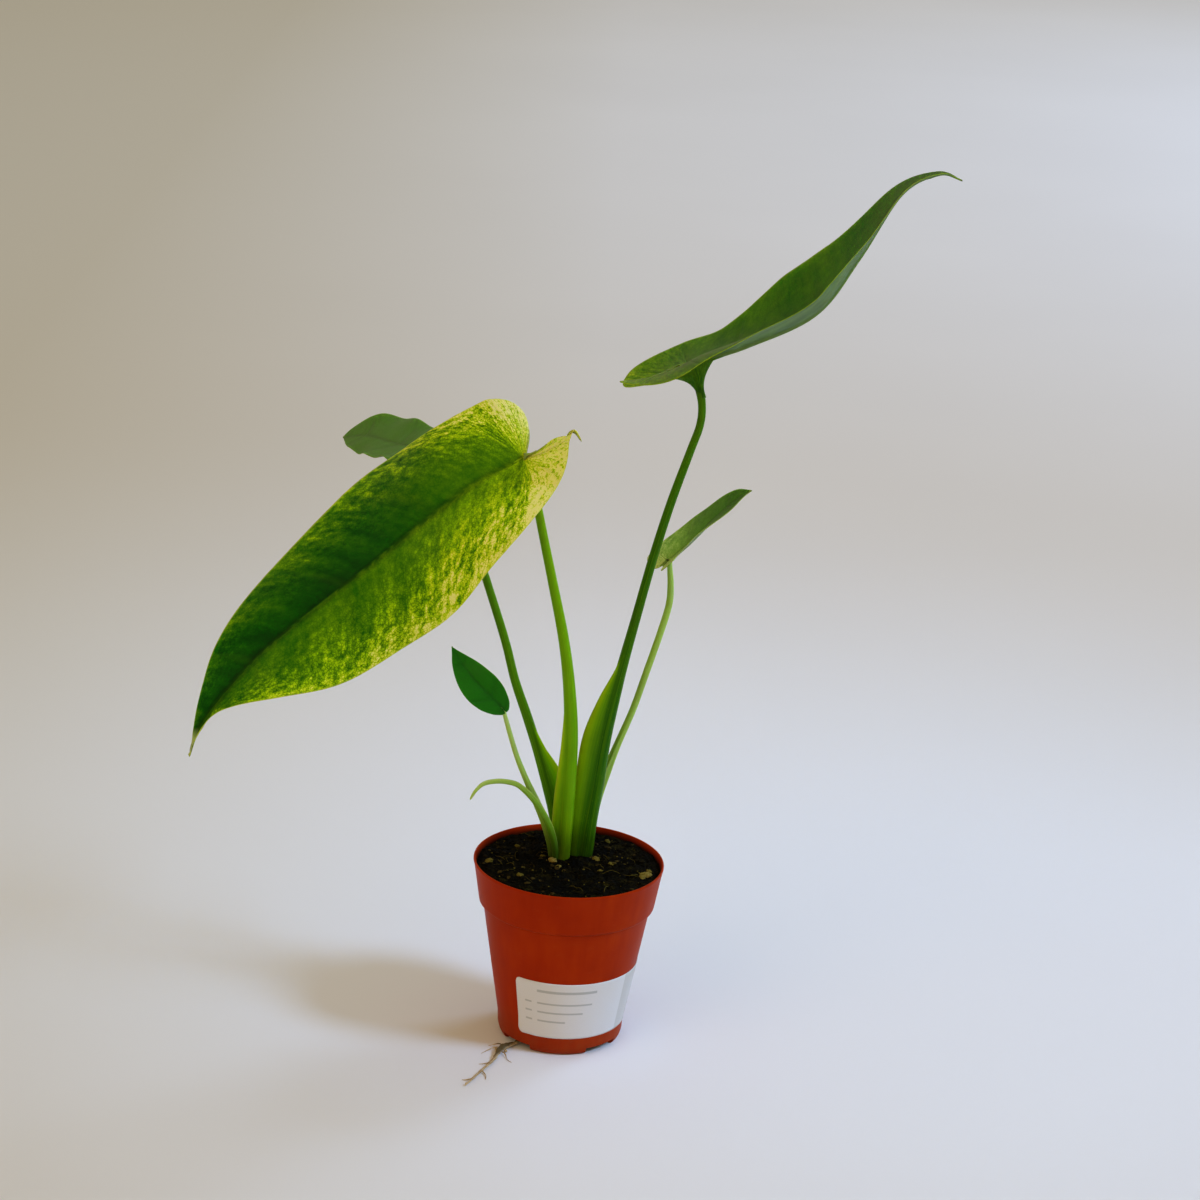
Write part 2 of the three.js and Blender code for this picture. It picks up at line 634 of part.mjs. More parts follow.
// Round block whose flat end lies just under a blade's stalk end, to trim the stalk's top
function topCutter({ seat, up }) {
  const across = up.clone().cross(new THREE.Vector3(0, 0, 1)).normalize();
  const beside = up.clone().cross(across);
  const ring = (radius, lift) => Array.from({ length: 16 }, (_, k) => {
    const turn = (2 * Math.PI * k) / 16;
    const centre = seat.clone().addScaledVector(up, lift);
    centre.addScaledVector(across, radius * Math.cos(turn));
    return centre.addScaledVector(beside, radius * Math.sin(turn));
  });
  const centre = (lift) => [seat.clone().addScaledVector(up, lift)];
  const { radius, height } = TOP_CUTTER;
  return ringSolid([centre(-GAP), ring(radius, -GAP), ring(radius, height), centre(height)]);
}

// Pieces
const blades = {};
for (const name of Object.keys(LEAVES)) blades[name] = bladeSolid(LEAVES[name]);

const stalks = {};
let room = null;
for (const name of STALK_ORDER) {
  let solid = stalkSolid(STALKS[name]);
  if (room) solid = solid.subtract(room);
  if (blades[name]) solid = solid.subtract(topCutter(blades[name]));
  stalks[name] = mainPiece(solid);
  const enlarged = stalkSolid(STALKS[name], GAP);
  room = room ? room.add(enlarged) : enlarged;
}
const crown = mainPiece(crownSolid().subtract(room));
const rootTail = rootSolid(ROOT_TAIL);
const hollow = crownSolid(GAP).add(room).add(rootSolid(ROOT_TAIL, GAP));
const soil = mainPiece(soilSolid().subtract(hollow));

// Meshes
const group = new THREE.Group();
function addPiece(name, solid, color, roughness) {
  const geometry = geometryOf(solid);
  geometry.computeVertexNormals();
  const material = new THREE.MeshStandardMaterial({ color, roughness });
  const piece = new THREE.Mesh(geometry, material);
  piece.name = name;
  group.add(piece);
}

addPiece('pot', potSolid(), 0x9a3214, 0.5);
addPiece('label', labelSolid(), 0xd9d9d6, 0.6);
addPiece('soil', soil, 0x1f1712, 0.95);
addPiece('crown', crown, 0x7d7442, 0.8);
addPiece('root_tail', rootTail, 0x8a6d48, 0.85);
const BLADE_COLORS = {
  large: 0x6f9a1c, tall: 0x2f5f1f, back: 0x47683a, right: 0x4d6d3c, left: 0x1f6026,
};
const STALK_COLORS = {
  large: 0x86a81e, tall: 0x3c6d16, back: 0x4f8420, right: 0x93b45a, left: 0xa3bd6e, strap: 0x9db84f,
};
for (const name of Object.keys(LEAVES)) {
  addPiece(`blade_${name}`, blades[name].solid, BLADE_COLORS[name], 0.45);
}
for (const name of STALK_ORDER) addPiece(`stalk_${name}`, stalks[name], STALK_COLORS[name], 0.5);

export default group;
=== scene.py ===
# %% [markdown]
# A young monstera in a 9 cm nursery pot: five leaves on long stalks, a strap-like first leaf,
# dark soil and a blank ruled sticker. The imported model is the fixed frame. Every piece here
# is built anew in its axes, from lists of lengths in millimetres that MM turns to Blender's
# metres when a mesh is made.

# %% Load the frame
import math
import random
from bisect import bisect_right
from contextlib import contextmanager

import bpy
from mathutils import Matrix, Quaternion, Vector, noise


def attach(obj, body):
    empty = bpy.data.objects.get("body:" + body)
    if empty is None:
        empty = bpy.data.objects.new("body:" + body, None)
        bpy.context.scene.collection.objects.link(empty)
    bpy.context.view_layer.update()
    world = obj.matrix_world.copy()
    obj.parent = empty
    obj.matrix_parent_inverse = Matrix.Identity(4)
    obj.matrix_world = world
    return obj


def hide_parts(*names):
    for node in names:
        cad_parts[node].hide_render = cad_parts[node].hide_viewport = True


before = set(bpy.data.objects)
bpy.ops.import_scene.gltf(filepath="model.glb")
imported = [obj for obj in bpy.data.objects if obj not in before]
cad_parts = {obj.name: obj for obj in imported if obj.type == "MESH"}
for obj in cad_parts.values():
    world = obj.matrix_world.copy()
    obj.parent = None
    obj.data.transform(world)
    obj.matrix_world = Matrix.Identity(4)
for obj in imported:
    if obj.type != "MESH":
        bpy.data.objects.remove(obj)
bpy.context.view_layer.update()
MM = 0.001
print("nodes", sorted(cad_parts))

# %% [markdown]
# The camera stands about 1.5 m away, looks down by 18 degrees and is held a little askew.
# A 96 mm lens on a 36 mm wide sensor gives a square picture of the same framing. Place and
# angles were solved from the ellipses that the pot's rim and foot make in the photograph.

# %% Camera
CAMERA_PLACE = (7.4, -1396.1, 678.6)
CAMERA_DOWN = math.radians(18.27)
CAMERA_ROLL = math.radians(3.39)
CAMERA_LENS = 96
SENSOR_WIDTH = 36
CAMERA_REACH = 60

ahead = Vector((0, math.cos(CAMERA_DOWN), -math.sin(CAMERA_DOWN)))
level = Vector((1, 0, 0))
raised = level.cross(ahead)
right = level * math.cos(CAMERA_ROLL) + raised * math.sin(CAMERA_ROLL)
upward = raised * math.cos(CAMERA_ROLL) - level * math.sin(CAMERA_ROLL)
turn = Matrix((right, upward, -ahead)).transposed().to_4x4()
camera = bpy.data.objects.new("camera", bpy.data.cameras.new("camera"))
camera.data.lens = CAMERA_LENS
camera.data.sensor_width = SENSOR_WIDTH
camera.data.clip_end = CAMERA_REACH
camera.matrix_world = Matrix.Translation(Vector(CAMERA_PLACE) * MM) @ turn
bpy.context.collection.objects.link(camera)
bpy.context.scene.camera = camera
bpy.context.scene.view_settings.view_transform = "Standard"
bpy.context.scene.view_settings.look = "Medium High Contrast"
print("camera", camera.location)


# %% [markdown]
# A few small helpers are used all the way down. One deselects everything and picks a piece,
# because an operator acts on all that is selected. Others join pieces, name one, write a
# number at each corner, or run mesh operators on all corners in edit mode, such as the merge
# of the corners that meet at a seam or pole. The last hands a finished piece over to the
# frame: it rides on the plant's only body and stands for the solid of the same place.

# %% Helpers for pieces
BODY = "root"
SEAM = 0.004 * MM
FINE_SEAM = 0.002 * MM


def pick(piece, *others):
    bpy.ops.object.select_all(action="DESELECT")
    for each in (piece, *others):
        each.select_set(True)
    bpy.context.view_layer.objects.active = piece


def named(piece, name):
    piece.name = name
    piece.data.name = name
    return piece


def joined(*pieces):
    pick(*pieces)
    bpy.ops.object.join()
    return bpy.context.object


def note_values(piece, name, values):
    piece.data.attributes.new(name, "FLOAT", "POINT").data.foreach_set("value", values)


@contextmanager
def edit_mode():
    bpy.ops.object.mode_set(mode="EDIT")
    bpy.ops.mesh.select_all(action="SELECT")
    yield
    bpy.ops.object.mode_set(mode="OBJECT")


def face_outwards():
    bpy.ops.mesh.normals_make_consistent(inside=False)


def join_corners(piece, distance=SEAM, outwards=True):
    pick(piece)
    with edit_mode():
        bpy.ops.mesh.remove_doubles(threshold=distance)
        bpy.ops.mesh.dissolve_degenerate(threshold=distance / 4)
        if outwards:
            face_outwards()


def apply_modifiers(piece):
    pick(piece)
    for modifier in list(piece.modifiers):
        bpy.ops.object.modifier_apply(modifier=modifier.name)


def hand_over(piece, slot, *nodes):
    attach(piece, BODY)
    if nodes:
        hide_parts(*nodes)
    faces = sum(len(face.vertices) - 2 for face in piece.data.polygons)
    print(piece.name, faces, "triangles")


# %% [markdown]
# Most of this plant is bent tubes and sheets. Both start as Blender's flat grid, and each
# corner of it, known by its share across and along, is moved to its place on the real piece.
# Building from a grid keeps an even net of four-sided faces and a UV map that follows the
# growth, which the markings need later.

# %% Grid that is wrapped to a shape
def wrapped_grid(name, columns, rows, place):
    bpy.ops.object.select_all(action="DESELECT")
    bpy.ops.mesh.primitive_grid_add(x_subdivisions=columns, y_subdivisions=rows, size=1)
    piece = named(bpy.context.object, name)
    for corner in piece.data.vertices:
        corner.co = place(corner.co.x + 0.5, corner.co.y + 0.5)
    pick(piece)
    bpy.ops.object.shade_smooth()
    return piece


# %% [markdown]
# A stalk or leaf spine is a handful of points with a smooth curve through them.
# The same curve also smooths lists of sizes, such as how a stalk's radius changes. A tube
# closes over its last three rings, and a place round the pot is an angle and a radius.

# %% Smooth curves
END_RINGS = 3


def smooth_value(values, share):
    place = min(1.0, max(0.0, share)) * (len(values) - 1)
    i = min(int(place), len(values) - 2)
    t = place - i
    p1, p2 = values[i], values[i + 1]
    p0 = values[i - 1] if i > 0 else p1 * 2 - p2
    p3 = values[i + 2] if i + 2 < len(values) else p2 * 2 - p1
    bend = p0 * 2 - p1 * 5 + p2 * 4 - p3
    twist = p1 * 3 - p0 - p2 * 3 + p3
    return (p1 * 2 + (p2 - p0) * t + bend * (t * t) + twist * (t * t * t)) * 0.5


def along_direction(points, share, step=0.002):
    return (smooth_value(points, share + step) - smooth_value(points, share - step)).normalized()


def soft_step(low, high, value):
    t = min(1.0, max(0.0, (value - low) / (high - low)))
    return t * t * (3 - 2 * t)


def rounded_end(to_end, rings):
    return math.sqrt(max(0.0, 1 - max(0.0, 1 - to_end * rings / END_RINGS) ** 2))


def round_the_axis(radius, turned, height):
    return Vector((radius * math.cos(turned), radius * math.sin(turned), height))


# %% [markdown]
# A finish is a node tree. These helpers start one with a single shader and add a node with
# its inputs either set or linked. The rest make what nearly every finish has: places to read
# from, sums and products, noise, colour ramps, mixes and a bump. A socket knows the tree that
# it belongs to, so only the nodes that read from the mesh have to be told which one.

# %% Helpers for finishes
GLOW_RADIUS = (0.6, 1.0, 0.15)
GLOW_REACH = 0.004


def new_finish(name, specular, glow=0.0):
    material = bpy.data.materials.new(name)
    material.use_nodes = True
    shader = material.node_tree.nodes["Principled BSDF"]
    shader.inputs["Specular IOR Level"].default_value = specular
    shader.inputs["Subsurface Weight"].default_value = glow
    shader.inputs["Subsurface Radius"].default_value = GLOW_RADIUS
    shader.inputs["Subsurface Scale"].default_value = GLOW_REACH
    return material, material.node_tree, shader


def is_socket(value):
    return isinstance(value, bpy.types.NodeSocket)


def tree_of(values):
    return next(value.id_data for value in values if is_socket(value))


def add_node(tree, kind, inputs=None, **settings):
    item = tree.nodes.new("ShaderNode" + kind)
    for key, value in settings.items():
        setattr(item, key, value)
    for key, value in (inputs or {}).items():
        if is_socket(value):
            tree.links.new(value, item.inputs[key])
        else:
            item.inputs[key].default_value = value
    return item


def object_place(tree):
    return add_node(tree, "TexCoord").outputs["Object"]


def uv_place(tree, name):
    return add_node(tree, "UVMap", uv_map=name).outputs["UV"]


def noted(tree, name):
    return add_node(tree, "Attribute", attribute_name=name).outputs["Fac"]


def axes_of(vector):
    return add_node(vector.id_data, "SeparateXYZ", {"Vector": vector}).outputs


def math_node(operation, *values, clamp=False):
    inputs = dict(enumerate(values))
    item = add_node(tree_of(values), "Math", inputs, operation=operation, use_clamp=clamp)
    return item.outputs[0]


def times(first, second, clamp=False):
    return math_node("MULTIPLY", first, second, clamp=clamp)


def plus(first, second, clamp=False):
    return math_node("ADD", first, second, clamp=clamp)


def ramp(factor, *stops):
    item = add_node(factor.id_data, "ValToRGB", {"Fac": factor})
    elements = item.color_ramp.elements
    elements.remove(elements[1])
    elements[0].position = stops[0][0]
    elements[0].color = (*stops[0][1], 1)
    for position, color in stops[1:]:
        elements.new(position).color = (*color, 1)
    return item.outputs["Color"]


def spread(value, low, high, new_low=0.0, new_high=1.0):
    inputs = {"Value": value, "From Min": low, "From Max": high, "To Min": new_low, "To Max": new_high}
    return add_node(value.id_data, "MapRange", inputs).outputs["Result"]


def scaled(vector, size):
    return add_node(vector.id_data, "Mapping", {"Vector": vector, "Scale": size}).outputs["Vector"]


def noise_value(vector, scale, detail, roughness=0.55):
    inputs = {"Vector": vector, "Scale": scale, "Detail": detail, "Roughness": roughness}
    return add_node(vector.id_data, "TexNoise", inputs).outputs["Fac"]


def mixed(factor, first, second):
    under, over = [layer if is_socket(layer) else (*layer, 1) for layer in (first, second)]
    inputs = {0: factor, 6: under, 7: over}
    return add_node(tree_of((factor, first, second)), "Mix", inputs, data_type="RGBA").outputs[2]


def bumped(shader, height, distance, strength):
    inputs = {"Height": height, "Distance": distance, "Strength": strength}
    item = add_node(height.id_data, "Bump", inputs)
    height.id_data.links.new(item.outputs["Normal"], shader.inputs["Normal"])


def coloured(shader, color, roughness):
    links = color.id_data.links
    links.new(color, shader.inputs["Base Color"])
    links.new(roughness, shader.inputs["Roughness"])


# %% [markdown]
# The pot is a thin moulded nursery pot: a tapered wall, a step under a taller rim band, and
# four notches in the lower edge for drainage. It could be spun from a profile. Here a circle
# is extruded and resized ring by ring, up the outside, over the lip and down the inside,
# because that is how the wall keeps one even thickness that is easy to read off the list.

# %% Pot wall
POT_SIDES = 160
POT_PROFILE = [
    (25.6, 0.35), (26.6, 0), (27.7, 0.15), (28.5, 0.6), (29.1, 1.8), (29.5, 3), (29.8, 4.5),
    (30.1, 10), (33.5, 30), (36.9, 50), (39.45, 65.2), (39.7, 66.2), (40.4, 66.75),
    (41.2, 67.2), (41.55, 67.6), (41.75, 68.6), (43.2, 77.5), (44.5, 85.2), (44.75, 86.2),
    (44.98, 86.9), (45.0, 87.5), (44.85, 87.9), (44.55, 88), (44.2, 87.85), (43.95, 87.4),
    (43.6, 85.4), (42.2, 77.4), (40.6, 68.3), (39.9, 67.5), (38.6, 67), (35.6, 50),
    (29.0, 10), (28.6, 5), (27.8, 2.7), (26.0, 1.5),
]


def extruded_rings(name, profile, sides):
    radius, height = profile[0]
    bpy.ops.object.select_all(action="DESELECT")
    bpy.ops.mesh.primitive_circle_add(
        vertices=sides, radius=radius * MM, fill_type="NGON", location=(0, 0, 0)
    )
    piece = named(bpy.context.object, name)
    with edit_mode():
        bpy.ops.transform.translate(value=(0, 0, height * MM))
        for next_radius, next_height in profile[1:]:
            rise = {"value": (0, 0, (next_height - height) * MM)}
            bpy.ops.mesh.extrude_region_move(TRANSFORM_OT_translate=rise)
            size = next_radius / radius
            bpy.ops.transform.resize(value=(size, size, 1), center_override=(0, 0, 0))
            radius, height = next_radius, next_height
        bpy.ops.mesh.select_all(action="SELECT")
        face_outwards()
    return piece


pot = extruded_rings("pot_shell", POT_PROFILE, POT_SIDES)
print("pot rings", len(POT_PROFILE))

# %% [markdown]
# The notches are cut by wedge-shaped blocks with a Boolean modifier. A block starts as a cube
# that is stretched and moved to the edge, and its outer end is widened in edit mode.

# %% Drainage notches
NOTCH_ANGLES = (-135, -45, 45, 135)
NOTCH_SPAN = math.radians(36)
NOTCH_INNER = 23
NOTCH_OUTER = 34
NOTCH_HEIGHT = 3.2
SOFT_EDGE = 0.25
SOFT_EDGE_FROM = math.radians(50)
POT_SMOOTH_UP_TO = math.radians(35)


def notch_block(angle):
    depth = (NOTCH_OUTER - NOTCH_INNER) * MM
    middle = (NOTCH_OUTER + NOTCH_INNER) / 2 * MM
    bpy.ops.object.select_all(action="DESELECT")
    bpy.ops.mesh.primitive_cube_add(size=1)
    block = bpy.context.object
    block.scale = (NOTCH_INNER * MM * 2 * math.tan(NOTCH_SPAN / 2), depth, 2 * NOTCH_HEIGHT * MM)
    block.location = (0, middle, 0)
    bpy.ops.object.transform_apply(location=True, rotation=False, scale=True)
    for corner in block.data.vertices:
        if corner.co.y > middle:
            corner.co.x *= NOTCH_OUTER / NOTCH_INNER
    block.data.transform(Matrix.Rotation(math.radians(angle - 180), 4, "Z"))
    return block


cutter = joined(*[notch_block(angle) for angle in NOTCH_ANGLES])
cut = pot.modifiers.new("notches", "BOOLEAN")
cut.object = cutter
cut.operation = "DIFFERENCE"
cut.solver = "EXACT"
edge = pot.modifiers.new("soft edges", "BEVEL")
edge.width = SOFT_EDGE * MM
edge.segments = 2
edge.limit_method = "ANGLE"
edge.angle_limit = SOFT_EDGE_FROM
apply_modifiers(pot)
bpy.data.objects.remove(cutter)
join_corners(pot, distance=FINE_SEAM)
pick(pot)
bpy.ops.object.shade_smooth_by_angle(angle=POT_SMOOTH_UP_TO)
print("pot corners", len(pot.data.vertices))

# %% [markdown]
# The plastic is brick red with a satin skin. Real moulded pots aren't one flat colour: the
# pigment is slightly uneven, flow lines run up the wall, handling leaves dull scuffs, and a
# film of dried soil and dust gathers near the foot. Each of these is a
# noise at its own scale, and the same noises drive the roughness and a very shallow bump.
# The inner wall, told from the outer one by its distance from the pot's axis less the taper,
# is painted nearly black from 72 mm up to just above the soil: painted shade, with some stain from wet
# soil.

# %% Pot plastic
RIM_SLOPE = 0.17
INNER_WALL = (0.0294, 0.0296, 1.0, 0.0)
INNER_SHADE_TOP = (0.0850, 0.0872, 0.85, 0.0)
INNER_SHADE_FOOT = (0.0720, 0.0740, 0.0, 0.85)


def pot_plastic():
    material, tree, shader = new_finish("pot_plastic", 0.07)
    place = object_place(tree)
    axes = axes_of(place)
    clouds = noise_value(place, 34, 4)
    flow = noise_value(scaled(place, (1, 1, 0.08)), 210, 3)
    grain = noise_value(place, 2600, 2)
    scuffs = noise_value(scaled(place, (1, 1, 3.5)), 120, 6, 0.7)
    scuffs = spread(scuffs, 0.58, 0.74)
    foot = spread(axes["Z"], 0.0, 0.022, 1.0, 0.0)
    dust = times(foot, noise_value(place, 260, 5), clamp=True)
    tone = plus(times(clouds, 0.6), times(flow, 0.4))
    base = ramp(tone, (0.3, (0.310, 0.024, 0.0003)), (0.5, (0.365, 0.032, 0.0004)),
                (0.72, (0.420, 0.045, 0.0007)))
    worn = mixed(times(scuffs, 0.2), base, (0.42, 0.10, 0.035))
    dusty = mixed(times(dust, 0.6), worn, (0.16, 0.075, 0.030))
    rough = plus(spread(clouds, 0.3, 0.7, 0.36, 0.46), times(scuffs, 0.16))
    level = add_node(tree, "CombineXYZ", {"X": axes["X"], "Y": axes["Y"]})
    off_axis = add_node(tree, "VectorMath", {0: level.outputs[0]}, operation="LENGTH").outputs["Value"]
    taper = times(axes["Z"], RIM_SLOPE)
    inside = spread(math_node("SUBTRACT", off_axis, taper), *INNER_WALL)
    # Painted shade, with some wet-soil stain: the inner wall between 72 and 87 mm goes nearly black.
    inner_shade_band = math_node("MINIMUM", spread(axes["Z"], *INNER_SHADE_TOP), spread(axes["Z"], *INNER_SHADE_FOOT))
    with_inner_shade = mixed(times(inside, inner_shade_band), dusty, (0.045, 0.014, 0.003))
    coloured(shader, with_inner_shade, rough)
    height = plus(times(grain, 0.25), times(flow, 0.5))
    bumped(shader, height, 0.00012, 0.5)
    return material


pot.data.materials.append(pot_plastic())
hand_over(pot, "pot_plastic", "pot")

# %% [markdown]
# The sticker is a strip of white paper that follows the wall round to the right. It is a grid
# wrapped on the taper with rounded corners, given a hair's thickness by Solidify. One lower
# corner has let go a little, as they do on a damp pot.

# %% Sticker
LABEL_SPAN = (-38, 106)
LABEL_HEIGHTS = (9.2, 39.5)
LABEL_CORNER = 2.6
LABEL_THICKNESS = 0.16
LABEL_LIFT = 0.1
LABEL_CURL = 0.45
LABEL_COLUMNS = 180
LABEL_ROWS = 30
PLAIN_WALL_RINGS = 11


def wall_radius(height):
    rising = POT_PROFILE[:PLAIN_WALL_RINGS]
    for (r0, z0), (r1, z1) in zip(rising, rising[1:]):
        if z0 <= height <= z1:
            return r0 + (r1 - r0) * (height - z0) / (z1 - z0)
    return rising[-1][0]


def label_corner(x, y):
    first, last = LABEL_SPAN
    low, high = LABEL_HEIGHTS
    angle = first + (last - first) * x
    turn_of_corner = math.degrees(LABEL_CORNER / wall_radius((low + high) / 2))
    to_end = min(angle - first, last - angle) / turn_of_corner
    inset = LABEL_CORNER * (1 - math.sqrt(1 - max(0.0, 1 - to_end) ** 2))
    height = low + inset + (high - low - 2 * inset) * y
    loose = soft_step(0.07, 0, x) * soft_step(0.3, 0, y)
    radius = wall_radius(height) + LABEL_LIFT + LABEL_CURL * loose
    return round_the_axis(radius, math.radians(angle - 90), height) * MM


label = wrapped_grid("label_sticker", LABEL_COLUMNS, LABEL_ROWS, label_corner)
join_corners(label)
outside = Vector((label.data.polygons[0].center.x, label.data.polygons[0].center.y, 0))
if label.data.polygons[0].normal.dot(outside) < 0:
    pick(label)
    with edit_mode():
        bpy.ops.mesh.flip_normals()
paper = label.modifiers.new("paper", "SOLIDIFY")
paper.thickness = LABEL_THICKNESS * MM
paper.offset = 1
apply_modifiers(label)
print("sticker width", round(math.radians(LABEL_SPAN[1] - LABEL_SPAN[0]) * wall_radius(24), 1), "mm")

# %% [markdown]
# The print on the sticker is generic: a heavier rule along the top and short thin rules in
# two columns under it, as on a blank form. A rule is a band in the sticker's UV map, so a
# list of left end, right end, height and thickness draws them all, and a soft edge keeps
# them looking printed. Past the front, where the paper turns away from the light, it is painted greyer
# as painted shade.

# %% Sticker paper and rules
RULES = [
    (0.13, 0.47, 0.84, 0.018), (0.055, 0.1, 0.62, 0.012), (0.055, 0.1, 0.46, 0.012),
    (0.055, 0.1, 0.3, 0.012), (0.13, 0.45, 0.62, 0.012), (0.13, 0.4, 0.46, 0.012),
    (0.13, 0.3, 0.3, 0.012),
]
SHADED_STRIP_FROM = 0.665
PRINT_EDGE = 0.004


def label_paper():
    material, tree, shader = new_finish("label_paper", 0.3)
    flat = uv_place(tree, "UVMap")
    axes = axes_of(flat)
    across, high = axes["X"], axes["Y"]
    ink = None
    for left, far, height, thick in RULES:
        inside = times(spread(across, left, left + PRINT_EDGE),
                       spread(across, far, far - PRINT_EDGE))
        away = math_node("ABSOLUTE", math_node("SUBTRACT", high, height))
        band = times(inside, spread(away, thick, thick * 1.5, 1, 0))
        ink = band if ink is None else math_node("MAXIMUM", ink, band)
    fibres = noise_value(scaled(flat, (6, 1, 1)), 60, 5)
    paper_color = ramp(fibres, (0.3, (0.64, 0.63, 0.62)), (0.7, (0.71, 0.70, 0.69)))
    # Painted shade: past the front the paper is painted a greyer tone, standing for shade at the turn.
    shaded_strip = spread(across, SHADED_STRIP_FROM, SHADED_STRIP_FROM + PRINT_EDGE)
    paper_with_painted_shade = mixed(shaded_strip, paper_color, (0.56, 0.55, 0.52))
    worn_ink = times(ink, spread(fibres, 0.2, 0.8, 0.5, 0.8))
    printed = mixed(worn_ink, paper_with_painted_shade, (0.33, 0.34, 0.32))
    coloured(shader, printed, spread(fibres, 0.3, 0.7, 0.42, 0.55))
    bumped(shader, fibres, 0.00003, 0.6)
    return material


label.data.materials.append(label_paper())
hand_over(label, "label_paper", "label")

# %% [markdown]
# The soil is a loose, damp peat mix heaped a little round the stems. It is one closed grid:
# the first rows run over the pot's floor and up the wall, the rest run from the wall to the
# middle and get their crumbs from three sizes of noise. Noise on the corners is real relief,
# so it still casts shadows in the raking light from the side.

# %% Soil surface
SOIL_LEVEL = 85.4
SOIL_EDGE = 43.3
SOIL_HEAP = 0.7
SOIL_HEAP_WIDTH = 17
SOIL_EDGE_DROP = 0.9
LUMP_SIZE = 9
CRUMB_SIZE = 2.1
GRIT_SIZE = 0.75
CROWN_CENTRE = (0.5, 10.5)
SOIL_SIDES = 220
SOIL_ROWS = 130
SOIL_WALL = [(0, 1.8), (27.4, 1.8), (28.7, 10), (34.9, 48), (SOIL_EDGE - 0.4, 81.5)]
TOP_FROM = 0.12


def soil_height(x, y):
    spot = Vector((x, y, 0))
    distance = math.hypot(x - CROWN_CENTRE[0], y - CROWN_CENTRE[1])
    heap = SOIL_HEAP * math.exp(-((distance / SOIL_HEAP_WIDTH) ** 2))
    lumps = noise.fractal(spot / LUMP_SIZE, 1.0, 2.0, 3)
    crumbs = 1 - abs(noise.noise(spot / CRUMB_SIZE)) * 2
    grit = noise.noise(spot / GRIT_SIZE)
    return SOIL_LEVEL + heap + lumps + 0.55 * crumbs + 0.3 * grit


def soil_corner(x, y):
    turned = 2 * math.pi * x
    if y < TOP_FROM:
        place = y / TOP_FROM * (len(SOIL_WALL) - 1)
        i = min(int(place), len(SOIL_WALL) - 2)
        (r0, z0), (r1, z1) = SOIL_WALL[i], SOIL_WALL[i + 1]
        radius = r0 + (r1 - r0) * (place - i)
        height = z0 + (z1 - z0) * (place - i)
    else:
        inwards = (y - TOP_FROM) / (1 - TOP_FROM)
        radius = SOIL_EDGE * (1 - inwards ** 1.15)
        height = soil_height(radius * math.cos(turned), radius * math.sin(turned))
        height -= SOIL_EDGE_DROP * soft_step(SOIL_EDGE - 2.5, SOIL_EDGE, radius)
    return round_the_axis(radius, turned, height) * MM


soil = wrapped_grid("soil_mix", SOIL_SIDES, SOIL_ROWS, soil_corner)
join_corners(soil, distance=0.01 * MM)
print("soil top", round(max(corner.co.z for corner in soil.data.vertices) / MM, 1), "mm")

# %% [markdown]
# On the soil lie hundreds of loose bits: peat crumbs, flakes of bark, tan grains and a few
# coir fibres. A few bits are modelled once, from a small ball knocked out of round, then
# copied, squashed and turned at random places that a fixed seed repeats in every run. Only
# the pale bits have set places, read off the photograph. Each copy carries its own
# tone as an attribute, so that one finish can colour them all.

# %% Loose bits on the soil
SEED = 21
draw = random.Random(SEED)
BIT_KINDS = {
    "crumb": {"count": 760, "size": (0.45, 1.7), "flat": (0.5, 1.0), "tone": (0.0, 0.32)},
    "bark": {"count": 70, "size": (1.4, 3.0), "flat": (0.22, 0.45), "tone": (0.25, 0.5)},
    "grain": {"count": 85, "size": (0.4, 1.0), "flat": (0.6, 1.0), "tone": (0.55, 0.8)},
}
PALE_BITS = [
    (-7.6, 1.2, 2.5, 0.95), (-5.2, -3.6, 1.7, 0.84), (-12.6, 6.8, 1.4, 0.76), (12.8, 7.6, 1.8, 0.8),
    (-37.6, -2.4, 2.1, 0.8), (-22.2, -15.8, 2.0, 0.8), (36.5, -8.3, 2.2, 0.88),
    (34.8, -11.5, 1.7, 0.84), (38, -4.6, 1.4, 0.8), (20, 2.4, 1.6, 0.76), (15.1, -5.2, 1.3, 0.76),
    (-25, 18, 1.5, 0.7), (18, 30, 1.4, 0.68),
]
PALE_FLAT = 0.6
STEM_ROOM = (11.5, 14.0)
BIT_REACH = 41.6
KNOCK = 0.45
BIT_STRETCH = (0.8, 1.5)
BIT_TILT = 0.35


def bit_model(faces_round, seed):
    bpy.ops.object.select_all(action="DESELECT")
    bpy.ops.mesh.primitive_ico_sphere_add(subdivisions=faces_round, radius=1)
    model = bpy.context.object
    for corner in model.data.vertices:
        knock = noise.noise(corner.co * 1.3 + Vector((seed * 7.3, 0, 0)))
        corner.co *= 1 + KNOCK * knock
    return model


def place_bit(model, spot, size, flat, tone):
    bit = model.copy()
    bit.data = model.data.copy()
    stretch = Matrix.Diagonal((size * draw.uniform(*BIT_STRETCH), size, size * flat, 1))
    tilt = Matrix.Rotation(draw.uniform(-BIT_TILT, BIT_TILT), 4, "X")
    spin = Matrix.Rotation(draw.uniform(0, 2 * math.pi), 4, "Z")
    bit.data.transform(Matrix.Scale(MM, 4) @ Matrix.Translation(spot) @ spin @ tilt @ stretch)
    note_values(bit, "tone", [tone] * len(bit.data.vertices))
    bpy.context.collection.objects.link(bit)
    return bit


